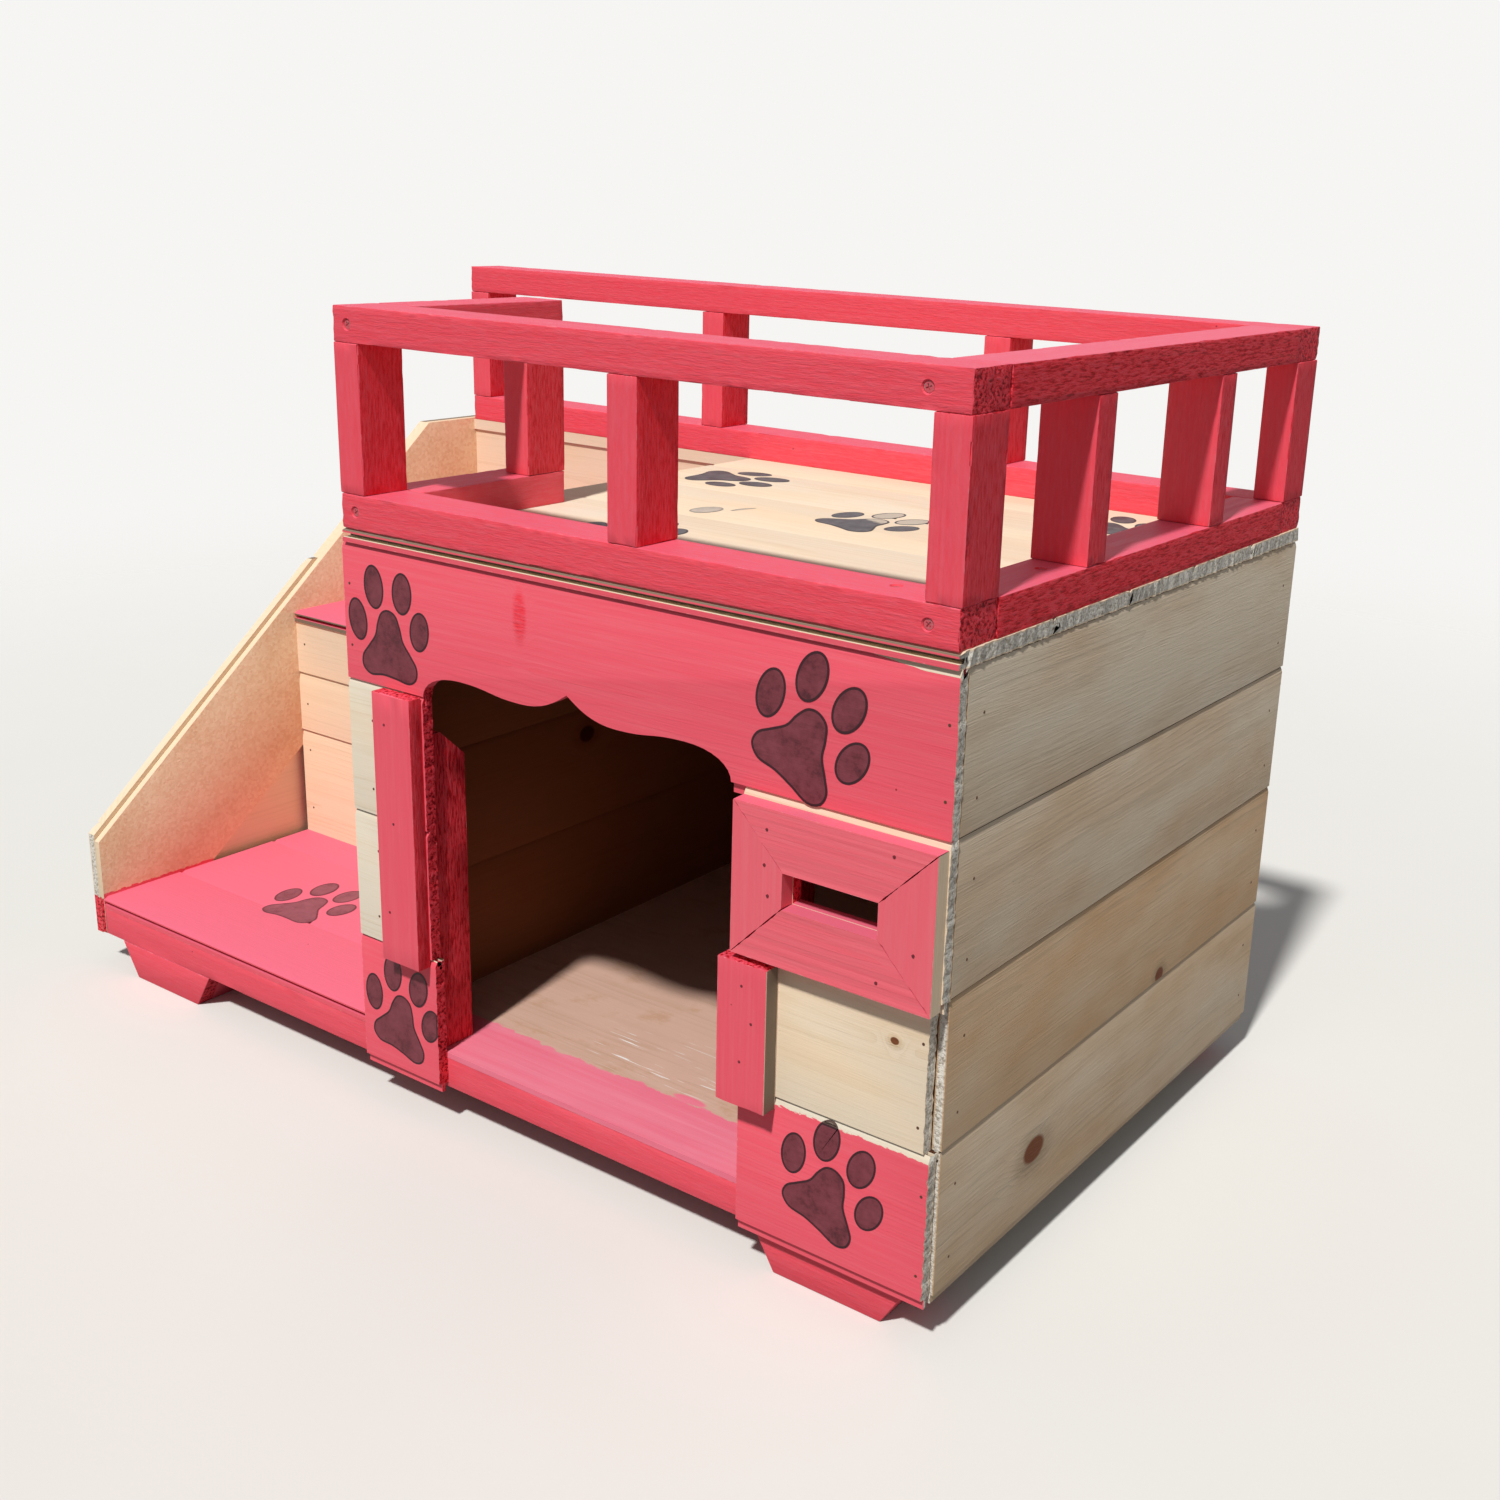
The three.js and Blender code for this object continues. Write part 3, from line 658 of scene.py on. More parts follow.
def bare_wood(add, figure, light, warm, dark, ring, fibre, streak, blotch):
    """Colour of bare wood: late wood lines, fibres and slow streaks over the early wood, pale fuzz on
    the sawn ends with a painted highlight along their edges, painted shade in the joints, and
    painted shade on the wood inside the cabin."""
    tint = colours()
    warmth = add("Math MULTIPLY_ADD", figure.tone, 0.5, -0.2)
    warmth = add("Math MULTIPLY_ADD", figure.blotch, 1.4, warmth, use_clamp=True)
    early = add("Mix RGBA", warmth, light, warm)
    amount = add("Math MULTIPLY", figure.ring, ring)
    for name, share in (("fibre", fibre), ("streak", streak), ("blotch", blotch)):
        centred = add("Math SUBTRACT", getattr(figure, name), 0.5)
        amount = add("Math MULTIPLY_ADD", centred, share * 2, amount)
    amount = add("Math MULTIPLY_ADD", figure.halo, 0.45, amount, use_clamp=True)
    colour = add("Mix RGBA", amount, early, dark)
    colour = add("Mix RGBA", figure.heart, colour, tint.knot)

    standing = add("MapRange", figure.fuzz, 0.34, 0.56, 0.0, 1.0)
    ends = add("Mix RGBA", standing, linear("#A69B8C"), tint.end_grain)
    # Painted highlight: the sawn ends are drawn warm cream along their edges, where the arris catches the
    # light.
    rim = add("MapRange", figure.from_side, 0.0006, 0.0018, 0.9, 0.0)
    ends = add("Mix RGBA", rim, ends, warm)
    colour = add("Mix RGBA", figure.end, colour, ends)
    # Painted shade: the joints and the deep edges of the bevels are drawn dark brown.
    joint_shade = add("MapRange", figure.joint, 0.45, 0.75, 0.0, 0.8)
    colour = add("Mix RGBA", joint_shade, colour, linear("#4A3626"))
    # Painted shade: wood inside the cabin is drawn darker.
    return add("Mix RGBA", figure.dim, colour, tint.indoors, blend_type="MULTIPLY")


def coated(add, figure, wood):
    """Coral wood paint brushed on the wood: streaky, with the grain showing through as slightly
    deeper lines, soaked deep red into sawn faces and ends with painted shade on these sides and in
    the hollows of their fuzz, paler and bluer on faces that look up as a painted sky reflection,
    chalky in places along the arrises, and ending in a ragged edge where the wood was left bare."""
    tint = colours()
    # Brush streaks 110 x 4 mm.
    brush = stretched(add, figure.grain, (9, 260, 260), 3, 0.55)
    thin = add("MapRange", brush, 0.42, 0.75, 0.0, 0.12)
    thinner = add("MapRange", figure.tone, 0.2, 1.0, 0.0, 0.16)
    thin = add("Math ADD", thin, thinner)
    coat = add("Mix RGBA", thin, tint.paint, tint.paint_worn)
    lines = add("Math MULTIPLY", figure.ring, 0.1)
    share = add("Math MULTIPLY_ADD", figure.rough, 0.4, 0.1)
    lines = add("Math MULTIPLY_ADD", figure.fibre, share, lines, use_clamp=True)
    coat = add("Mix RGBA", lines, coat, tint.paint_deep)

    # Painted sky reflection: the paint on faces that look up is drawn paler and bluer.
    facing = add("SeparateXYZ", add("NewGeometry", out=1), out=2)
    faded = add("MapRange", facing, 0.5, 0.9, 0.0, 0.9)
    coat = add("Mix RGBA", faded, coat, tint.paint_faded)

    knotty = add("Math MULTIPLY", figure.halo, 0.7)
    rough = add("Math MAXIMUM", figure.rough, figure.end)
    rough = add("Math MAXIMUM", rough, knotty)
    # Sawn faces and ends are drawn deep crimson, deepest in the hollows of the fuzz. This is partly soaked
    # paint and partly painted shade on these sides.
    soaked = add("MapRange", figure.fuzz, 0.4, 0.64, 1.0, 0.25)
    soaked = add("Math MULTIPLY", soaked, rough, use_clamp=True)
    coat = add("Mix RGBA", soaked, coat, tint.paint_deep)
    # Painted shade in the hollows of the torn fuzz: its low places on sawn faces and ends are drawn near
    # black.
    pit_shade = add("MapRange", figure.fuzz, 0.36, 0.5, 0.85, 0.0)
    sawn = add("MapRange", figure.rough, 0.7, 1.0, 0.0, 0.7)
    sawn = add("Math MAXIMUM", sawn, figure.end)
    pit_shade = add("Math MULTIPLY", pit_shade, sawn)
    coat = add("Mix RGBA", pit_shade, coat, linear("#4E0A14"))

    worn = add("MapRange", figure.arris, 0.0002, 0.0011, 1.0, 0.0)
    broken = add("MapRange", figure.grit, 0.52, 0.64, 0.0, 0.5)
    worn = add("Math MULTIPLY", worn, broken)
    coat = add("Mix RGBA", worn, coat, tint.paint_worn)
    # Few dark flecks of dirt, about a millimetre wide.
    cells = add("TexVoronoi", figure.grain, 42.0)
    chance = add("SeparateXYZ", cells.node.outputs[1])
    close = add("MapRange", cells, 0.022, 0.05, 1.0, 0.0)
    rare = add("Math GREATER_THAN", chance, 0.92)
    fleck = add("Math MULTIPLY", close, rare)
    coat = add("Mix RGBA", fleck, coat, linear("#8E2230"))

    ragged = add("Math SUBTRACT", figure.grit, 0.5)
    ragged = add("Math MULTIPLY_ADD", ragged, 0.009, figure.past_paint)
    open_wood = add("MapRange", ragged, -0.0004, 0.0004, 0.0, 1.0)
    colour = add("Mix RGBA", open_wood, coat, wood)
    satin = add("MapRange", brush, 0.3, 0.7, 0.52, 0.68)
    matt = add("MapRange", figure.fibre, 0.3, 0.7, 0.62, 0.8)
    roughness = add("Mix FLOAT", open_wood, satin, matt)
    sheen = add("MapRange", rough, 0.0, 0.6, 0.32, 0.1)
    return colour, roughness, sheen


def relief(add, figure, planed, sawn):
    """Height of the surface: fine fibres where it is planed, torn fuzz where it is sawn."""
    rough = add("Math MAXIMUM", figure.rough, figure.end)
    rough = add("Math MULTIPLY_ADD", figure.halo, 0.5, rough)
    low = add("Math MULTIPLY", figure.fibre, planed)
    low = add("Math MULTIPLY_ADD", figure.ring, planed * 0.5, low)
    torn = add("Math MULTIPLY", figure.fuzz, sawn)
    return add("Math MULTIPLY_ADD", torn, rough, low)


def finish_surface(material, add, colour, roughness, height, distance=0.001, specular=0.5):
    normal = add("Bump", height, distance, 1.0)
    links = {"Base Color": colour, "Roughness": roughness, "Normal": normal}
    links["Specular IOR Level"] = specular
    shader = add("BsdfPrincipled", inputs=links)
    add("OutputMaterial", shader)
    return material


_finishes = {}


def finish_for(name):
    if name not in _finishes:
        _finishes[name] = FINISHES[name]()
    return _finishes[name]


def timber_finish(name, spacing, wander, light, warm, dark, shares, planed, sawn):
    material, add = new_material(name)
    figure = wood_figure(add, spacing, wander)
    wood = bare_wood(add, figure, light, warm, dark, *shares)
    colour, roughness, sheen = coated(add, figure, wood)
    height = relief(add, figure, planed, sawn)
    return finish_surface(material, add, colour, roughness, height, specular=sheen)


def painted_pine():
    """Pine under coral paint, bare in places: brush streaks, raised grain, crimson saw fuzz."""
    tint = colours()
    shares = (0.35, 0.2, 0.3, 0.2)
    return timber_finish(
        "coral_painted_pine", 0.0042, 0.012, tint.pine, tint.pine_warm, tint.pine_ring, shares, 0.22, 2.4
    )


def bare_pine():
    """Planed pine, left bare: cream early wood, soft tan late wood lines, a satin sheen."""
    tint = colours()
    shares = (0.30, 0.14, 0.26, 0.16)
    return timber_finish(
        "planed_pine", 0.0056, 0.016, tint.pine, tint.pine_warm, tint.pine_ring, shares, 0.18, 1.3
    )


def weathered_pine():
    """Pine dulled by the weather: raised fibres, soft grey streaks, browner boards near the ground."""
    tint = colours()
    shares = (0.30, 0.34, 0.42, 0.30)
    brown = linear("#CBA57C")
    return timber_finish(
        "weathered_pine", 0.0050, 0.022, tint.grey, brown, tint.grey_ring, shares, 0.4, 1.3
    )


def rough_sheet():
    """Coarse chipboard: tan chips a few millimetres long, pressed in all directions, unsanded, with
    pale sawn edges."""
    tint = colours()
    material, add = new_material("rough_chipboard")
    figure = wood_figure(add, 0.0045, 0.012)
    place = add("TexCoord", out=3)
    chips = add("TexVoronoi", place, 260.0, out=1)
    chip = add("SeparateXYZ", chips)
    dust = add("TexNoise", place, 380.0, 4, 0.7)
    cloud = add("TexNoise", place, 9.0, 3)
    amount = add("Math MULTIPLY", chip, 0.35)
    amount = add("Math MULTIPLY_ADD", dust, 0.4, amount)
    amount = add("Math MULTIPLY_ADD", cloud, 0.9, amount)
    amount = add("MapRange", amount, 0.5, 1.25, 0.0, 0.8)
    wood = add("Mix RGBA", amount, tint.sheet, tint.sheet_chip)
    facing = add("NewGeometry", out=1)
    facing = add("SeparateXYZ", facing)
    sideways = add("Math ABSOLUTE", facing)
    cut = add("MapRange", sideways, 0.4, 0.6, 1.0, 0.0)
    wood = add("Mix RGBA", cut, wood, tint.pine_warm)
    colour, _, sheen = coated(add, figure, wood)
    height = add("Math MULTIPLY", dust, 0.7)
    height = add("Math MULTIPLY_ADD", chip, 0.2, height)
    return finish_surface(material, add, colour, 0.85, height, specular=sheen)


WORN_TOES = at(373, 431, 622)
SCUFFS = at(300, 138, 82)
SMEAR = at(372, 93, 82)


def floor_ply():
    """Worn plywood: faint figure, brown stains, chalky white scuffs, and a painted front band."""
    tint = colours()
    material, add = new_material("worn_plywood")
    figure = wood_figure(add, 0.012, 0.03)
    tan = tint.floor
    wood = bare_wood(add, figure, tan, tan, linear("#B08A68"), 0.25, 0.2, 0.3, 0.35)
    stain = stretched(add, figure.grain, (14, 22, 22), 5, 0.65)
    dark = add("MapRange", stain, 0.56, 0.68, 0.0, 0.45)
    wood = add("Mix RGBA", dark, wood, tint.floor_stain)

    place = add("TexCoord", out=3)
    thin = stretched(add, place, (16, 330, 1), 3)
    scratch = add("MapRange", thin, 0.62, 0.66, 0.0, 1.0)
    away = add("VectorMath SUBTRACT", place, tuple(SCUFFS))
    away = add("VectorMath MULTIPLY", away, (1, 2.2, 1))
    away = add("VectorMath LENGTH", away)
    local = add("MapRange", away, 0.06, 0.13, 0.9, 0.0)
    scratch = add("Math MULTIPLY", scratch, local)
    wood = add("Mix RGBA", scratch, wood, linear("#F4F1F0"))

    ragged = add("TexNoise", figure.grain, 34.0, 5, 0.7)
    ragged = add("Math SUBTRACT", ragged, 0.5)
    past = add("Math MULTIPLY_ADD", ragged, 0.03, figure.past_paint)
    smear = add("VectorMath SUBTRACT", place, tuple(SMEAR))
    smear = add("VectorMath MULTIPLY", smear, (0.3, 1, 1))
    smear = add("VectorMath LENGTH", smear)
    smear = add("Math SUBTRACT", smear, 0.006)
    past = add("Math MINIMUM", past, smear)
    open_wood = add("MapRange", past, -0.0008, 0.0008, 0.0, 1.0)
    streaky = add("MapRange", figure.streak, 0.3, 0.7, 0.0, 0.5)
    band = add("Mix RGBA", streaky, linear("#F0738C"), linear("#F69BAE"))
    colour = add("Mix RGBA", open_wood, band, wood)
    roughness = add("MapRange", stain, 0.3, 0.7, 0.55, 0.8)
    return finish_surface(material, add, colour, roughness, relief(add, figure, 0.15, 0.8))


def stencil_paint(name, colour, rim, faded, worn_at=None):
    """Stencil paint dabbed over the wood: mottled, with a darker rim where it pooled, and walked
    off round one place."""
    material, add = new_material(name)
    rim, faded = linear(rim), linear(faded)
    place = add("TexCoord", out=3)
    pooled = add("Attribute", out=2, attribute_name="rim")
    streak = stretched(add, place, (60, 60, 420), 4, 0.65)
    blotch = add("TexNoise", place, 60.0, 5, 0.7)
    thin = add("MapRange", streak, 0.35, 0.75, 0.0, 0.35)
    dabs = add("MapRange", blotch, 0.42, 0.66, 0.0, 0.55)
    thin = add("Math ADD", thin, dabs)
    deep = add("MapRange", blotch, 0.3, 0.46, 0.7, 0.0)
    inside = add("Mix RGBA", thin, colour, faded)
    inside = add("Mix RGBA", deep, inside, rim)
    if worn_at:
        away = add("VectorMath DISTANCE", place, tuple(worn_at))
        away = add("Math MULTIPLY_ADD", streak, 0.02, away)
        gone = add("MapRange", away, 0.042, 0.048, 0.85, 0.0)
        inside = add("Mix RGBA", gone, inside, linear("#CFC4B2"))
    film = add("Mix RGBA", pooled, inside, rim)
    roughness = add("MapRange", streak, 0.3, 0.7, 0.5, 0.66)
    return finish_surface(material, add, film, roughness, streak, distance=0.0003, specular=0.3)


def screw_steel():
    """Zinc plated steel screw heads, half painted over with the rails."""
    material, add = new_material("painted_zinc_steel")
    place = add("TexCoord", out=3)
    chips = add("TexNoise", place, 500.0, 3)
    bare = add("MapRange", chips, 0.58, 0.64, 0.0, 1.0)
    steel = linear("#8F8B84")
    colour = add("Mix RGBA", bare, colours().screws, steel)
    roughness = add("MapRange", chips, 0.3, 0.7, 0.42, 0.6)
    links = {"Base Color": colour, "Roughness": roughness, "Metallic": bare}
    shader = add("BsdfPrincipled", inputs=links)
    add("OutputMaterial", shader)
    return material


def nail_steel():
    """Blank wire nails gone dull and brown."""
    material, add = new_material("dull_nail_steel")
    place = add("TexCoord", out=3)
    rust = add("TexNoise", place, 600.0, 3)
    brown = linear("#6E4630")
    colour = add("Mix RGBA", rust, colours().nails, brown)
    shader = add("BsdfPrincipled", inputs={"Base Color": colour, "Roughness": 0.6, "Metallic": 0.6})
    add("OutputMaterial", shader)
    return material


def punched_paint():
    """Dark dots over the heads of the trim's nails: painted shade of the punched holes."""
    material, add = new_material("pooled_coral_paint")
    place = add("TexCoord", out=3)
    hole_mottle = add("TexNoise", place, 500.0, 2)
    deep = linear("#4A0F18")
    colour = add("Mix RGBA", hole_mottle, deep, linear("#7A1E2A"))
    return finish_surface(material, add, colour, 0.6, hole_mottle, distance=0.0003)


FINISHES = {
    "paint": painted_pine,
    "pine": bare_pine,
    "weathered_pine": weathered_pine,
    "rough_sheet": rough_sheet,
    "floor_sheet": floor_ply,
    "print": lambda: stencil_paint("maroon_stencil_paint", colours().prints, "#33121A", "#8A4450"),
    "board_print": lambda: stencil_paint("brown_stencil_paint", linear("#75645A"), "#57443E", "#8B7A6C"),
    "landing_print": lambda: stencil_paint(
        "thin_maroon_stencil_paint", linear("#834753"), "#6C3340", "#9E5A68"
    ),
    "deck_print": lambda: stencil_paint(
        "grey_stencil_paint", colours().prints_bare, "#3B3B40", "#6F6F72", WORN_TOES
    ),
    "worn_deck_print": lambda: stencil_paint(
        "worn_grey_stencil_paint", linear("#B9B2A6"), "#9A958C", "#D2C8B8"
    ),
    "screw": screw_steel,
    "nail": nail_steel,
    "punched": punched_paint,
}


# ---- Finishes of the faces ----------------------------------------------------------------------
def bare_above(height):
    """Paint stops at a height, in metres above the ground."""
    return lambda place, centre, normal: place[:, Z] - height


def bare_side(axis, side):
    """One long side was left bare."""
    return lambda place, centre, normal: np.where(normal[:, axis] * side > 0.6, BARE, PAINTED)


def bare_right_end(place, centre, normal):
    """The sawn end at the cabin's right corner was left bare."""
    return np.where((normal[:, X] > 0.6) & (centre[:, X] > at(690, 0, 0).x), BARE, PAINTED)


def painted_behind_trim(place, centre, normal):
    """Bare up to the left trim batten, and painted from there to the doorway."""
    low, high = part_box("left_trim_batten")
    return (low.x + high.x) / 2 - place[:, X]


def painted_slot(place, centre, normal):
    """The paint of the frame runs into the slot; the rest of the board was left bare."""
    low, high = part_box("slot_frame_left")[1].x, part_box("slot_frame_right")[0].x
    edge = (np.abs(normal[:, Y]) < 0.5) & (centre[:, X] > low - 4 * MM) & (centre[:, X] < high + 4 * MM)
    below_top = centre[:, Z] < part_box("slot_frame_top")[1].z - 10 * MM
    above_bottom = centre[:, Z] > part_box("slot_frame_bottom")[0].z + 10 * MM
    return np.where(edge & below_top & above_bottom, PAINTED, BARE)


def bare_lining(place, centre, normal):
    """The face that looks into the cabin was never painted."""
    return np.where(normal[:, Y] > 0.6, BARE, PAINTED)


def bare_where_any(*rules):
    """Bare wherever one of the rules leaves the wood bare."""
    return lambda place, centre, normal: np.max([rule(place, centre, normal) for rule in rules], axis=0)


def painted_foot(place, centre, normal):
    """Front edge of the staircase's side: painted up to the landing, bare above it."""
    front = (normal[:, Y] < -0.6) & (np.abs(normal[:, X]) < 0.4)
    return np.where(front, place[:, Z] - 0.088, BARE)


def painted_lip(place, centre, normal):
    """The upright faces of the deck's front edge are painted, its bevel and top are bare."""
    return np.where((normal[:, Y] < -0.9) & (place[:, Y] < at(0, 3, 0).y), PAINTED, BARE)


def header_corner(place, centre, normal):
    """The header's bevelled top edge is bare towards the cabin's right end, in a slanting patch."""
    bevel = (normal[:, Z] > 0.2) & (normal[:, Y] < -0.2)
    from_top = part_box("header_board")[1].z - place[:, Z]
    return np.where(bevel, place[:, X] - at(612, 0, 0).x - 11 * from_top, PAINTED)


# The rough side is also drawn deep crimson, which is partly painted shade on that side.
def sawn_side(axis, side, strength=1.0, elsewhere=0.25):
    """One long side is rough from the saw, the rest is planed."""
    return lambda centre, normal: np.where(normal[:, axis] * side > 0.6, strength, elsewhere)


# ---- Pieces -------------------------------------------------------------------------------------
class PieceOperator:
    """What the operators of the pieces share."""

    bl_options = {"REGISTER"}

    def execute(self, context):
        self.build()
        return {"FINISHED"}


class DOGHOUSE_OT_base(PieceOperator, bpy.types.Operator):
    """Base battens, their feet and the floor sheet"""

    bl_idname = "doghouse.base"
    bl_label = "Base and floor"

    def build(self):
        for name in ("front", "back"):
            slot = "paint" if name == "front" else "pine"
            timber(f"base_{name}_batten", slot, X, Y, step=0.03, across_step=0.012, rough=0.22, chips=1.0)
        for name in ("left", "middle", "right"):
            timber(f"base_{name}_batten", "pine", Y, X, step=0.03, rough=0.5)
        for row in ("front", "back"):
            for column in ("left", "right"):
                timber(f"foot_{row}_{column}", "paint", X, Y, step=0.012, across_step=0.01, rough=0.25)
        painted_band = at(0, 87, 0).y
        timber(
            "floor_sheet", "floor_sheet", X, Z, arris=0.0,
            bare=lambda place, centre, normal: place[:, Y] - painted_band,
        )


class DOGHOUSE_OT_front(PieceOperator, bpy.types.Operator):
    """Header with the scalloped doorway edge, and the boards beside the doorway"""

    bl_idname = "doghouse.front"
    bl_label = "Front boards"

    def build(self):
        timber(
            "header_board", "paint", X, Y, arris=0.0, rough=0.04, frays=[(X, 1)],
            bare=bare_where_any(bare_right_end, bare_lining, header_corner),
            knots=[(0, at(242, 0, 0).x, 0.572, 0.013, 0.34)],
        )
        for side in ("left", "right"):
            for row in (1, 2, 3):
                node = f"front_{side}_board_{row}"
                frays = [(X, 1)]
                if row == 1:
                    top = bare_above(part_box(node)[1].z - (0.0062 if side == "right" else 0.001))
                    rules = [top, bare_lining, bare_right_end]
                    timber(
                        node, "paint", X, Y, arris=0.0, rough=0.04, frays=frays,
                        bare=bare_where_any(*rules),
                    )
                elif side == "left":
                    timber(
                        node, "pine", X, Y, arris=0.0, rough=0.04, tone=-0.9, frays=frays,
                        bare=painted_behind_trim,
                    )
                else:
                    knots = [(0, at(666, 0, 0).x, 0.283, 0.0035, 1.25)] if row == 2 else ()
                    timber(
                        node, "pine", X, Y, arris=0.0, rough=0.04, tone=0.1, frays=frays, knots=knots,
                        bare=painted_slot if row == 3 else BARE,
                    )


class DOGHOUSE_OT_trim(PieceOperator, bpy.types.Operator):
    """Trim battens, the mitred frame of the slot and the studs behind the doorway's sides"""

    bl_idname = "doghouse.trim"
    bl_label = "Trim and slot frame"

    def build(self):
        right_face = sawn_side(X, 1, 0.8, 0.06)
        timber(
            "left_trim_batten", "paint", Z, Y, step=0.02, across_step=0.012, rough=right_face, chips=0.5
        )
        timber(
            "right_trim_batten", "paint", Z, Y, step=0.012, across_step=0.009, rough=0.06, chips=0.5,
            tears=[(Z, -1)], bare=bare_side(X, 1),
        )
        for side, along in (("bottom", X), ("right", Z), ("top", X), ("left", Z)):
            rules = {"bare": bare_side(X, 1), "tone": 1.0} if side == "right" else {"tone": 1.0}
            timber(f"slot_frame_{side}", "paint", along, Y, arris=0.0, rough=0.06, mitred=True, **rules)
        for side in ("left", "right"):
            timber(f"door_stud_{side}", "paint", Z, Y, step=0.02, across_step=0.008, rough=1.0, chips=1.0)


class DOGHOUSE_OT_walls(PieceOperator, bpy.types.Operator):
    """Right wall boards, left wall and back wall"""

    bl_idname = "doghouse.walls"
    bl_label = "Walls"

    def build(self):
        knots = {1: (0, at(0, 183, 0).y, 0.111, 0.013, 1.5), 2: (0, at(0, 437, 0).y, 0.194, 0.008, 1.2)}
        tones = {1: -0.2, 2: 0.5, 3: -0.3, 4: -0.8}
        for row in (1, 2, 3, 4):
            timber(
                f"right_wall_board_{row}", "weathered_pine", Y, X, arris=0.0, rough=0.12, tone=tones[row],
                knots=[knots[row]] if row in knots else (),
            )
        timber(
            "left_wall", "pine", Y, X, arris=0.0, rough=0.1, joints=(0.222, 0.362, 0.502),
            knots=[(1, at(0, 334, 0).y, 0.331, 0.010, 1.25)],
        )
        timber(
            "back_wall", "weathered_pine", X, Y, arris=0.0, rough=0.2, tone=-0.3,
            joints=(0.188, 0.328, 0.468),
        )


class DOGHOUSE_OT_deck(PieceOperator, bpy.types.Operator):
    """Deck boards on the roof"""

    bl_idname = "doghouse.deck"
    bl_label = "Deck"

    def build(self):
        tones = (0.2, -0.4, 0.4, 0.0, 0.3)
        for row, tone in zip((1, 2, 3, 4, 5), tones):
            timber(
                f"deck_board_{row}", "pine", X, Z, arris=0.0, rough=0.04, tone=tone, tear=0.003,
                frays=[(X, 1)], bare=painted_lip if row == 1 else BARE, jointed=row < 5,
            )


class DOGHOUSE_OT_railing(PieceOperator, bpy.types.Operator):
    """Rails and posts round the deck"""

    bl_idname = "doghouse.railing"
    bl_label = "Railing"

    def build(self):
        for level in ("lower", "upper"):
            for side in ("front", "back", "right", "left"):
                along = X if side in ("front", "back") else Y
                rough = sawn_side(X, 1, 1.0, 0.2) if side == "right" else 0.34
                timber(
                    f"{level}_rail_{side}", "paint", along, 1 - along, step=0.009, across_step=0.006,
                    rough=rough, tears=[(along, 1), (along, -1)], chips=1.0, bores=screw_seats(level, side),
                )
        for place in (
            "front_left", "front_middle", "front_right", "right_front", "right_back",
            "back_right", "back_middle", "back_inner_left", "back_left", "left_end",
        ):
            timber(
                f"post_{place}", "paint", Z, X, step=0.009, across_step=0.009,
                rough=sawn_side(X, 1, 0.8, 0.28), chips=2.0 if place == "front_right" else 1.0,
            )


class DOGHOUSE_OT_staircase(PieceOperator, bpy.types.Operator):
    """Side panel, landing, riser, upper tread and back lining of the staircase"""

    bl_idname = "doghouse.staircase"
    bl_label = "Staircase"

    def build(self):
        timber(
            "stair_side_sheet", "rough_sheet", Y, X, arris=0.0006,
            bare=lambda place, centre, normal: np.where(
                np.abs(normal[:, X]) > 0.6, place[:, Z] - 0.094, painted_foot(place, centre, normal)
            ),
        )
        timber(
            "stair_side_boards", "weathered_pine", Y, X, arris=0.0, rough=0.1, joints=(0.18, 0.32, 0.46),
            tone=1.0, bare=painted_foot, finish="pine",
        )
        landing_joints = (at(0, 120, 0).y, at(0, 262, 0).y)
        timber("stair_landing", "paint", X, Z, arris=0.0, rough=0.04, joints=landing_joints)
        timber("stair_riser", "pine", X, Y, arris=0.0, rough=0.04, joints=(0.234, 0.314), tone=1.0)
        timber(
            "stair_upper_tread", "paint", X, Z, arris=0.0, rough=0.04, joints=(at(0, 460, 0).y,),
            bare=bare_side(Y, -1),
        )
        timber(
            "stair_back_lining", "pine", X, Y, arris=0.0, rough=0.1, tone=0.8,
            joints=(0.216, 0.356, 0.496),
        )


# ---- Fixings ------------------------------------------------------------------------------------
RAIL_SCREWS = {  # house x of the screws through the front and back rails, by level
    "upper": (24, 668),
    "lower": (24, 678),
}
TOP_SCREWS = ((627, 32), (680, 172))  # through the lower rails into the deck
TRIM_NAILS = (  # house places on the trim's faces
    (69, -16, 436), (77, -16, 334), (66, -16, 236), (519, -18, 294), (530, -18, 261), (518, -18, 221),
    (541, -16, 443), (539, -16, 411), (543, -16, 384), (667, -16, 451), (689, -16, 372), (655, -16, 338),
)


def screw_seats(level, side):
    """Places, axes and sides of the countersinks in one rail."""
    low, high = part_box(f"{level}_rail_{side}")
    middle = (low.z + high.z) / 2
    seats = []
    if side in ("front", "back"):
        face, turn = (low.y, -1) if side == "front" else (high.y, 1)
        seats += [(Vector((at(x, 0, 0).x, face, middle)), Y, turn) for x in RAIL_SCREWS[level]]
    if level == "lower" and side in ("front", "right"):
        x, y = TOP_SCREWS[0 if side == "front" else 1]
        place = at(x, y, 0)
        seats.append((Vector((place.x, place.y, high.z)), Z, 1))
    return seats


def spread(template, places, name, finish):
    """Copies of a small part at places given as (point, axis, side), joined into one piece."""
    copies = []
    for point, axis, side in places:
        copy = template.copy()
        copy.data = template.data.copy()
        bpy.context.scene.collection.objects.link(copy)
        turn = Matrix.Rotation(random.Random(repr(tuple(point))).uniform(0, math.pi), 4, "Z")
        copy.matrix_world = Matrix.Translation(point) @ toward(axis, side) @ turn
        copies.append(copy)
    piece = join_parts(copies, name)
    bpy.ops.object.transform_apply(location=True, rotation=True, scale=True)
    piece.data.materials.clear()
    piece.data.materials.append(finish_for(finish))
    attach(piece, "root")
    return piece


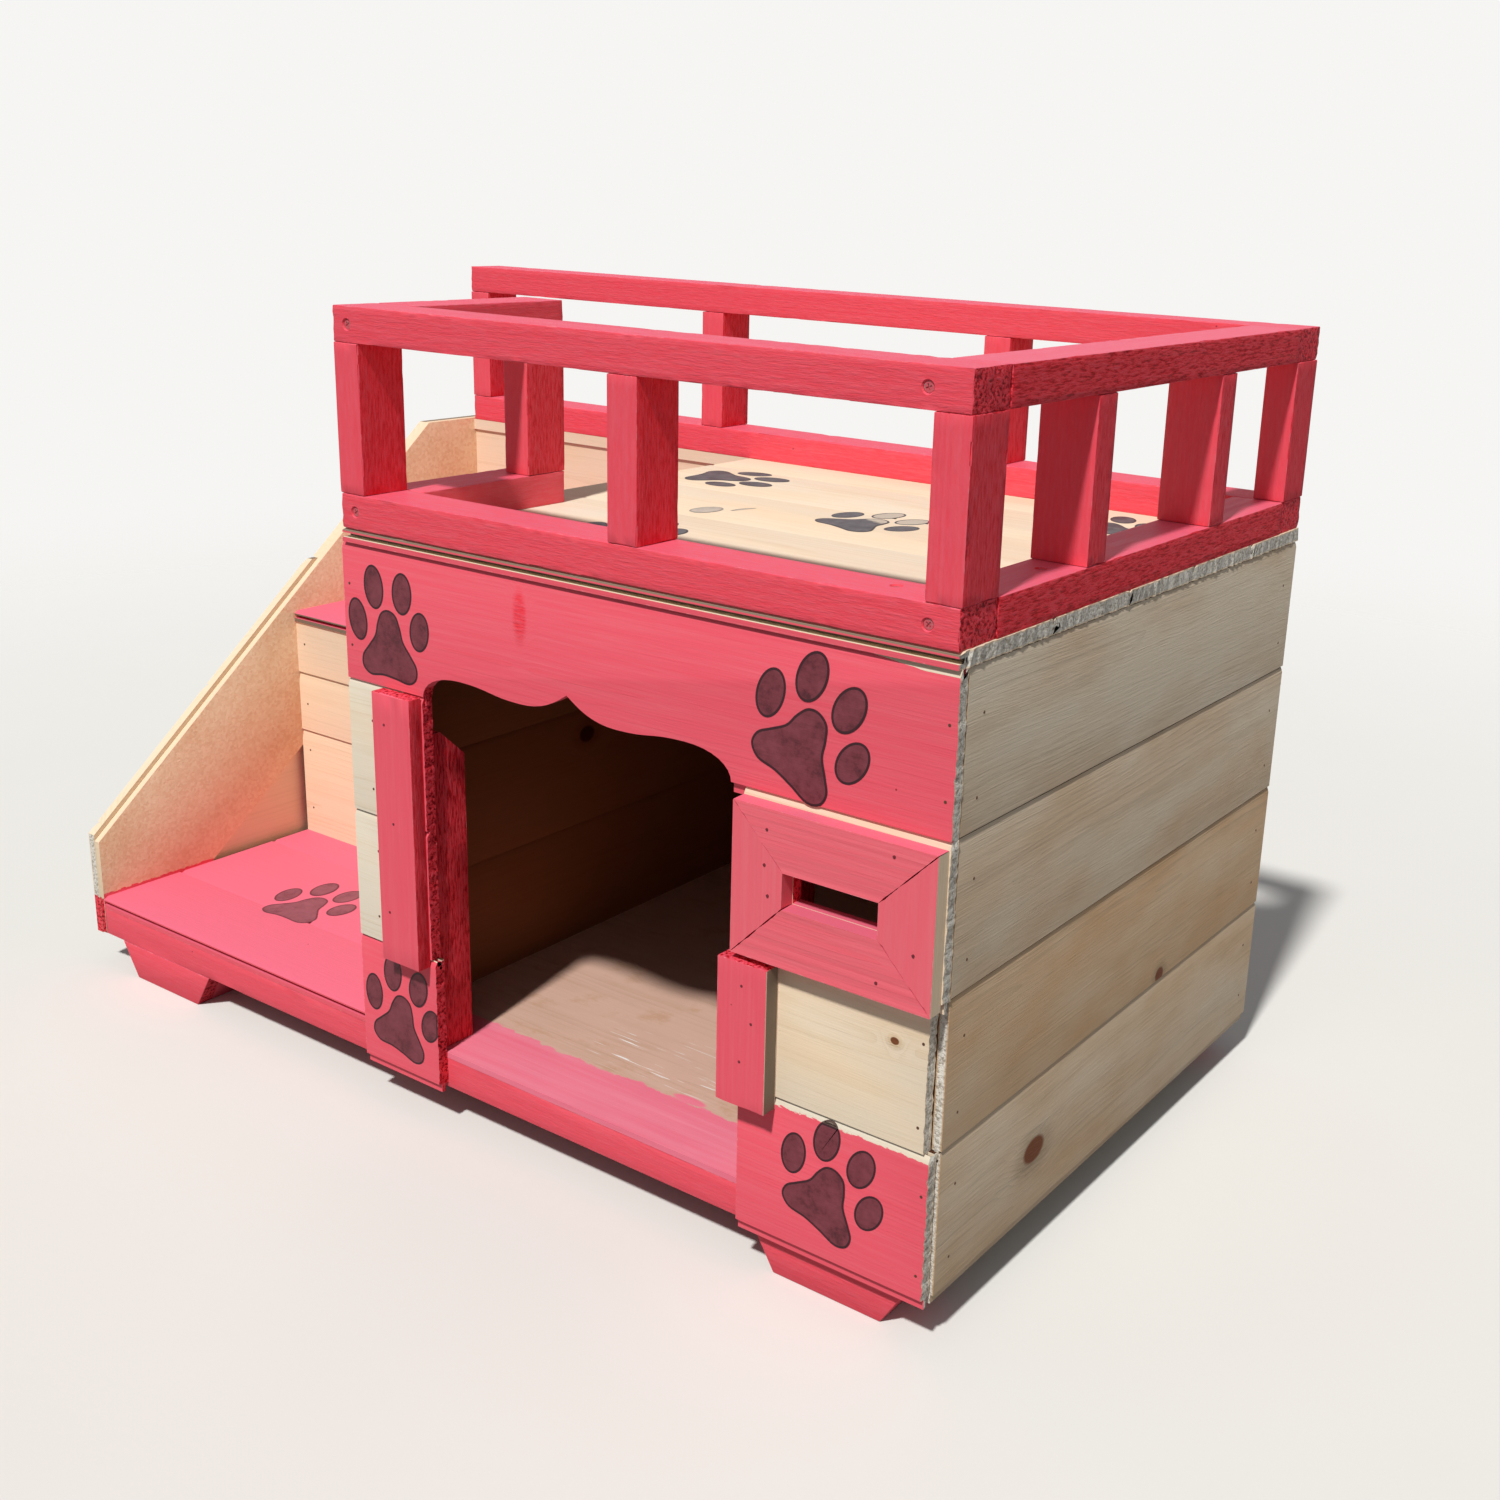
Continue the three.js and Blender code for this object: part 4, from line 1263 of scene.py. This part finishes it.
def screw_head():
    """A flat screw head with a cross recess, its top just under the surface that it is sunk in."""
    radius, thickness, sunk = sizes().screw / 2, 0.002, 0.0016
    middle = (0, 0, -sunk - thickness / 2)
    head = primitive("cylinder", vertices=28, radius=radius, depth=thickness, location=middle)
    with editing(head) as mesh:
        choose(head, mesh, [f for f in mesh.faces if f.normal.z > 0.9])
        bpy.ops.mesh.bevel(offset=0.0005, segments=2, affect="EDGES")
    for turn in (0, math.pi / 2):
        blade = primitive(
            "cube", size=1, location=(0, 0, -sunk), scale=(radius * 1.15, radius * 0.24, 0.0022),
            rotation=(0, 0, turn),
        )
        cut_away(head, blade)
    activate(head)
    bpy.ops.object.transform_apply(location=True, rotation=True, scale=True)
    return head


def nail_head():
    """A domed wire nail head, driven almost flush."""
    radius = sizes().nail / 2
    head = primitive("cylinder", vertices=10, radius=radius, depth=0.0012, location=(0, 0, -0.0004))
    with editing(head) as mesh:
        choose(head, mesh, [f for f in mesh.faces if f.normal.z > 0.9])
        bpy.ops.mesh.inset(thickness=radius * 0.45, depth=0.00015)
    activate(head)
    bpy.ops.object.transform_apply(location=True, rotation=True, scale=True)
    return head


def face_nails(node, axis, side, spots):
    """Nail places on a face of a node; spots are shares of its other two sizes."""
    low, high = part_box(node)
    others = [i for i in (X, Y, Z) if i != axis]
    places = []
    for spot in spots:
        point = Vector((0, 0, 0))
        face = high[axis] if side > 0 else low[axis]
        point[axis] = face - side * DRAWN_IN.get(node, 0.0)
        for other, share in zip(others, spot):
            point[other] = low[other] + share * (high[other] - low[other])
        places.append((point, axis, side))
    return places


class DOGHOUSE_OT_fixings(PieceOperator, bpy.types.Operator):
    """Screws in the rails and nails in the boards"""

    bl_idname = "doghouse.fixings"
    bl_label = "Screws and nails"

    def build(self):
        screws = []
        for level in ("lower", "upper"):
            for side in ("front", "back", "right"):
                screws += screw_seats(level, side)
        head = screw_head()
        spread(head, screws, "rail_screws", "screw")
        bpy.data.objects.remove(head)

        nail = nail_head()
        front = []
        for row in (1, 2, 3):
            front += face_nails(f"front_left_board_{row}", Y, -1, [(0.28, 0.25), (0.31, 0.74)])
            front += face_nails(f"front_right_board_{row}", Y, -1, [(0.962, 0.22), (0.968, 0.74)])
        header = [(0.012, 0.3), (0.012, 0.72), (0.988, 0.28), (0.988, 0.7)]
        front += face_nails("header_board", Y, -1, header)
        spread(nail, front, "front_nails", "nail")
        skin = Vector((0, DRAWN_IN["right_trim_batten"], 0))
        trim = [(at(*place) + (skin if place[1] == -18 else skin * 0), Y, -1) for place in TRIM_NAILS]
        spread(nail, trim, "trim_nails", "punched")
        walls = []
        for row in (1, 2, 3, 4):
            walls += face_nails(
                f"right_wall_board_{row}", X, 1,
                [(0.035, 0.25), (0.04, 0.72), (0.965, 0.27), (0.96, 0.7)],
            )
        for share in (0.08, 0.2, 0.33, 0.45, 0.58, 0.7, 0.83, 0.95):
            walls += face_nails("back_wall", Y, 1, [(0.02, share), (0.42, share), (0.985, share)])
        spread(nail, walls, "wall_nails", "nail")
        steps = []
        for share in (0.12, 0.4, 0.62, 0.9):
            steps += face_nails("stair_riser", Y, -1, [(0.03, share), (0.97, share)])
        for share in (0.1, 0.27, 0.5, 0.66, 0.85):
            steps += face_nails("stair_side_boards", X, -1, [(0.97, share)])
        side = [(0.03, 0.06), (0.04, 0.16), (0.5, 0.06), (0.5, 0.3)]
        steps += face_nails("stair_side_boards", X, -1, side)
        spread(nail, steps, "stair_nails", "nail")
        bpy.data.objects.remove(nail)


# ---- Paw prints ---------------------------------------------------------------------------------
# One print, drawn upright round its middle in millimetres: toes as middle, width, height and lean
# in degrees, and the outline of the pad.
TOES = ((-44, 22, 27, 43, 9), (-19, 58, 28, 44, 4), (21, 57, 28, 42, -4), (44, 23, 27, 40, -9))
PAD = (
    (0, 38), (11, 34), (17, 22), (21, 9), (31, -3), (39, -14), (38, -26), (27, -33), (8, -31),
    (-10, -30), (-28, -32), (-39, -25), (-39, -13), (-30, -2), (-20, 10), (-16, 23), (-10, 34),
)
RIM = 0.0021


def smooth_outline(points, steps=5):
    """A closed curve through the points."""
    curve = []
    count = len(points)
    for index in range(count):
        before, start, end, after = (Vector(points[(index + k) % count]) for k in (-1, 0, 1, 2))
        for step in range(steps):
            t = step / steps
            curve.append(
                0.5
                * (
                    2 * start
                    + (end - before) * t
                    + (2 * before - 5 * start + 4 * end - after) * t * t
                    + (3 * start - before - 3 * end + after) * t**3
                )
            )
    return curve


def paw_outlines(turn, scale):
    outlines = []
    for x, y, width, height, lean in TOES:
        tilt = Matrix.Rotation(math.radians(lean), 2)
        ring = [
            Vector((x, y)) + tilt @ Vector((width / 2 * math.cos(a), height / 2 * math.sin(a)))
            for a in (2 * math.pi * k / 36 for k in range(36))
        ]
        outlines.append(ring)
    outlines.append(smooth_outline(PAD))
    turned = Matrix.Rotation(math.radians(turn), 2)
    return [[turned @ p * scale for p in outline] for outline in outlines]


def paw_print(name, middle, axes, turn, scale, finish, limits=()):
    """A print on a face: axes are the face's right and up directions; limits are clipping planes."""
    right, up = (Vector(a) for a in axes)
    out = right.cross(up)
    film = sizes().film
    shapes = []
    for outline in paw_outlines(turn, scale):
        shape = primitive("circle", vertices=len(outline), radius=0.01, fill_type="NGON")
        for vertex, point in zip(shape.data.vertices, outline):
            vertex.co = middle + (right * point.x + up * point.y) * MM + out * film
        shapes.append(shape)
    piece = join_parts(shapes, name)
    for point, normal in limits:
        with editing(piece):
            bpy.ops.mesh.bisect(plane_co=point, plane_no=normal, clear_outer=True, use_fill=False)
    with editing(piece) as mesh:
        bpy.ops.mesh.select_mode(type="FACE")
        bpy.ops.mesh.select_all(action="SELECT")
        bpy.ops.mesh.normals_make_consistent(inside=False)
        bpy.ops.mesh.inset(thickness=RIM * scale, depth=0, use_even_offset=True)
    inner = np.array([p.select for p in piece.data.polygons])
    layer = piece.data.attributes.new("rim", "FLOAT", "FACE")
    layer.data.foreach_set("value", np.where(inner, 0.0, 1.0).astype(np.float32))
    if piece.data.polygons[0].normal.dot(out) < 0:
        with editing(piece):
            bpy.ops.mesh.flip_normals()
    apply_modifier(piece, "SOLIDIFY", thickness=film * 2, offset=-1.0)
    piece.data.materials.append(finish_for(finish))
    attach(piece, "root")
    return piece


BEVEL_HEIGHT, BEVEL_DEPTH = 6, 3  # of the boards' upper edges, in millimetres
FRONT_AXES = ((1, 0, 0), (0, 0, 1))
TOP_AXES = ((1, 0, 0), (0, 1, 0))


class DOGHOUSE_OT_prints(PieceOperator, bpy.types.Operator):
    """Stencilled paw prints on the front, the landing and the deck"""

    bl_idname = "doghouse.prints"
    bl_label = "Paw prints"

    def build(self):
        cabin_left = (at(0.6, 0, 0), (-1, 0, 0))
        left_board_end = (at(113, 0, 0), (1, 0, 0))
        bevel_start = 188 - BEVEL_HEIGHT
        below_bevel = (at(0, 0, bevel_start), (0, 0, 1))
        front = (
            ("header_print_left", 63, 510, 0, 1.0, "print", [cabin_left]),
            ("header_print_right", 560, 513, -28, 1.07, "print", []),
            ("low_print_left", 56, 98, -10, 0.98, "print", [cabin_left, left_board_end]),
            ("low_print_right", 600, 106, -20, 0.98, "print", [below_bevel]),
        )
        for name, x, z, turn, scale, finish, limits in front:
            paw_print(name, at(x, 0, z), FRONT_AXES, turn, scale, finish, limits)
        # The tip of one toe lies on the bare bevel above the painted face.
        slant = Vector((0, BEVEL_DEPTH, BEVEL_HEIGHT)).normalized()
        middle = at(600, 0, bevel_start) - slant * (bevel_start - 106) * MM
        tip = [(at(0, 0, bevel_start), (0, 0, -1)), (at(0, 0, 187.5), (0, 0, 1))]
        paw_print("low_print_right_tip", middle, ((1, 0, 0), slant), -20, 0.98, "board_print", tip)
        paw_print("landing_print", at(-285, 142, 90), TOP_AXES, 6, 1.0, "landing_print", [])
        deck = (
            ("deck_print_back", 71, 505, -80, 1.0, "deck_print"),
            ("deck_print_middle", 355, 377, -17, 1.0, "deck_print"),
            ("deck_print_right", 559, 543, 30, 1.0, "deck_print"),
            ("deck_print_left", 218, 172, 20, 0.95, "deck_print"),
        )
        for name, x, y, turn, scale, finish in deck:
            paw_print(name, at(x, y, 622), TOP_AXES, turn, scale, finish, [])
        # Only one toe is left of the worn print.
        turned = Matrix.Rotation(math.radians(-17), 3, "Z")
        worn = at(231, 291, 622)
        toe = [
            (worn + turned @ Vector((-28, 0, 0)) * MM, turned @ Vector((1, 0, 0))),
            (worn + turned @ Vector((0, 2, 0)) * MM, turned @ Vector((0, -1, 0))),
        ]
        paw_print("deck_print_worn_toe", worn, TOP_AXES, -17, 1.0, "worn_deck_print", toe)


# ---- Stage --------------------------------------------------------------------------------------
CAMERA_PLACE = (1.2460, -1.4305, 0.9533)
CAMERA_RIGHT = (0.8159, 0.5772, 0.0335)
CAMERA_UP = (-0.1934, 0.2179, 0.9566)
CAMERA_LENS = 41.3
CAMERA_SHIFT = (-0.0533, -0.0267)
SUN_DIRECTION = (0.091, -0.552, 0.829)  # from the house to the lamp
SUN_STRENGTH = 3.25
SUN_SPREAD = 4  # degrees
SKY_STRENGTH = 0.24
FLOOR_RADIUS = 4.0


def straight_rays(add):
    """1 for what the camera sees itself, in a mirror or through glass."""
    path = add("LightPath").node.outputs
    seen = add("Math MAXIMUM", path["Is Camera Ray"], path["Is Glossy Ray"])
    return add("Math MAXIMUM", seen, path["Is Transmission Ray"])


class DOGHOUSE_OT_stage(PieceOperator, bpy.types.Operator):
    """Camera, pale floor and soft light"""

    bl_idname = "doghouse.stage"
    bl_label = "Stage"

    def build(self):
        self.camera()
        self.floor()
        self.light()

    def camera(self):
        right, up = Vector(CAMERA_RIGHT).normalized(), Vector(CAMERA_UP)
        back = right.cross(up).normalized()
        up = back.cross(right)
        turn = Matrix((right, up, back)).transposed()
        bpy.ops.object.camera_add(location=CAMERA_PLACE, rotation=turn.to_euler())
        camera = bpy.context.object
        camera.name = "photo_camera"
        camera.data.lens = CAMERA_LENS
        camera.data.sensor_width = 36
        camera.data.shift_x, camera.data.shift_y = CAMERA_SHIFT
        camera.data.clip_start, camera.data.clip_end = 0.05, 60
        bpy.context.scene.camera = camera

    def floor(self):
        floor = primitive("circle", vertices=96, radius=FLOOR_RADIUS, fill_type="NGON")
        floor.name = "studio_floor"
        with editing(floor):
            bpy.ops.mesh.inset(thickness=FLOOR_RADIUS * 0.4)
        material, add = new_material("pale_studio_floor")
        place = add("TexCoord", out=3)
        far = add("VectorMath LENGTH", place)
        fade = add("MapRange SMOOTHSTEP", far, 1.1, FLOOR_RADIUS * 0.9, 0.0, 1.0)
        dust = add("TexNoise", place, 3.0, 2)
        colour = add("Mix RGBA", dust, colours().ground, linear("#E7E6E3"))
        # The floor shows pale, and throws no more light back on the object than a mid grey one.
        seen = straight_rays(add)
        colour = add("Mix RGBA", seen, linear("#8E8D8B"), colour)
        matt = add(
            "BsdfPrincipled", inputs={"Base Color": colour, "Roughness": 0.95, "Specular IOR Level": 0.1}
        )
        clear = add("BsdfTransparent")
        mixed = add("MixShader", fade, matt, clear)
        add("OutputMaterial", mixed)
        floor.data.materials.append(material)

    def light(self):
        bpy.ops.object.light_add(type="SUN", location=(-1.5, -2.6, 3))
        sun = bpy.context.object
        sun.name = "soft_sun"
        sun.data.energy = SUN_STRENGTH
        sun.data.angle = math.radians(SUN_SPREAD)
        sun.data.color = linear("#FFFDF9")
        sun.rotation_euler = Vector(SUN_DIRECTION).to_track_quat("Z", "Y").to_euler()

        world = bpy.data.worlds.new("pale_studio")
        world.use_nodes = True
        add = node_adder(world.node_tree)
        seen = straight_rays(add)
        light = add("Background", linear("#F3F6FA"), SKY_STRENGTH)
        backdrop = add("Background", linear("#F6F5F3"), 1.0)
        mixed = add("MixShader", seen, light, backdrop)
        add("OutputWorld", mixed)
        bpy.context.scene.world = world
        bpy.context.scene.view_settings.view_transform = "Standard"


# ---- Panel and registration ---------------------------------------------------------------------
OPERATORS = (
    DOGHOUSE_OT_base,
    DOGHOUSE_OT_front,
    DOGHOUSE_OT_trim,
    DOGHOUSE_OT_walls,
    DOGHOUSE_OT_deck,
    DOGHOUSE_OT_railing,
    DOGHOUSE_OT_staircase,
    DOGHOUSE_OT_fixings,
    DOGHOUSE_OT_prints,
    DOGHOUSE_OT_stage,
)


class DOGHOUSE_PT_panel(bpy.types.Panel):
    """Lists the colours, the sizes and the pieces"""

    bl_label = "Dog House"
    bl_idname = "DOGHOUSE_PT_panel"
    bl_space_type = "VIEW_3D"
    bl_region_type = "UI"
    bl_category = "Dog House"

    def draw(self, context):
        layout = self.layout
        for group in (context.scene.dog_house_colours, context.scene.dog_house_sizes):
            box = layout.box()
            for name in group.__annotations__:
                box.prop(group, name)
        for operator in OPERATORS:
            layout.operator(operator.bl_idname)


CLASSES = (DogHouseColours, DogHouseSizes, *OPERATORS, DOGHOUSE_PT_panel)


def register():
    for cls in CLASSES:
        bpy.utils.register_class(cls)
    bpy.types.Scene.dog_house_colours = PointerProperty(type=DogHouseColours)
    bpy.types.Scene.dog_house_sizes = PointerProperty(type=DogHouseSizes)


def unregister():
    del bpy.types.Scene.dog_house_sizes
    del bpy.types.Scene.dog_house_colours
    for cls in reversed(CLASSES):
        bpy.utils.unregister_class(cls)


def main():
    register()
    for operator in OPERATORS:
        group, name = operator.bl_idname.split(".")
        result = getattr(getattr(bpy.ops, group), name)()
        if result != {"FINISHED"}:
            raise RuntimeError(operator.bl_label + " wasn't built")


if __name__ == "__main__":
    main()
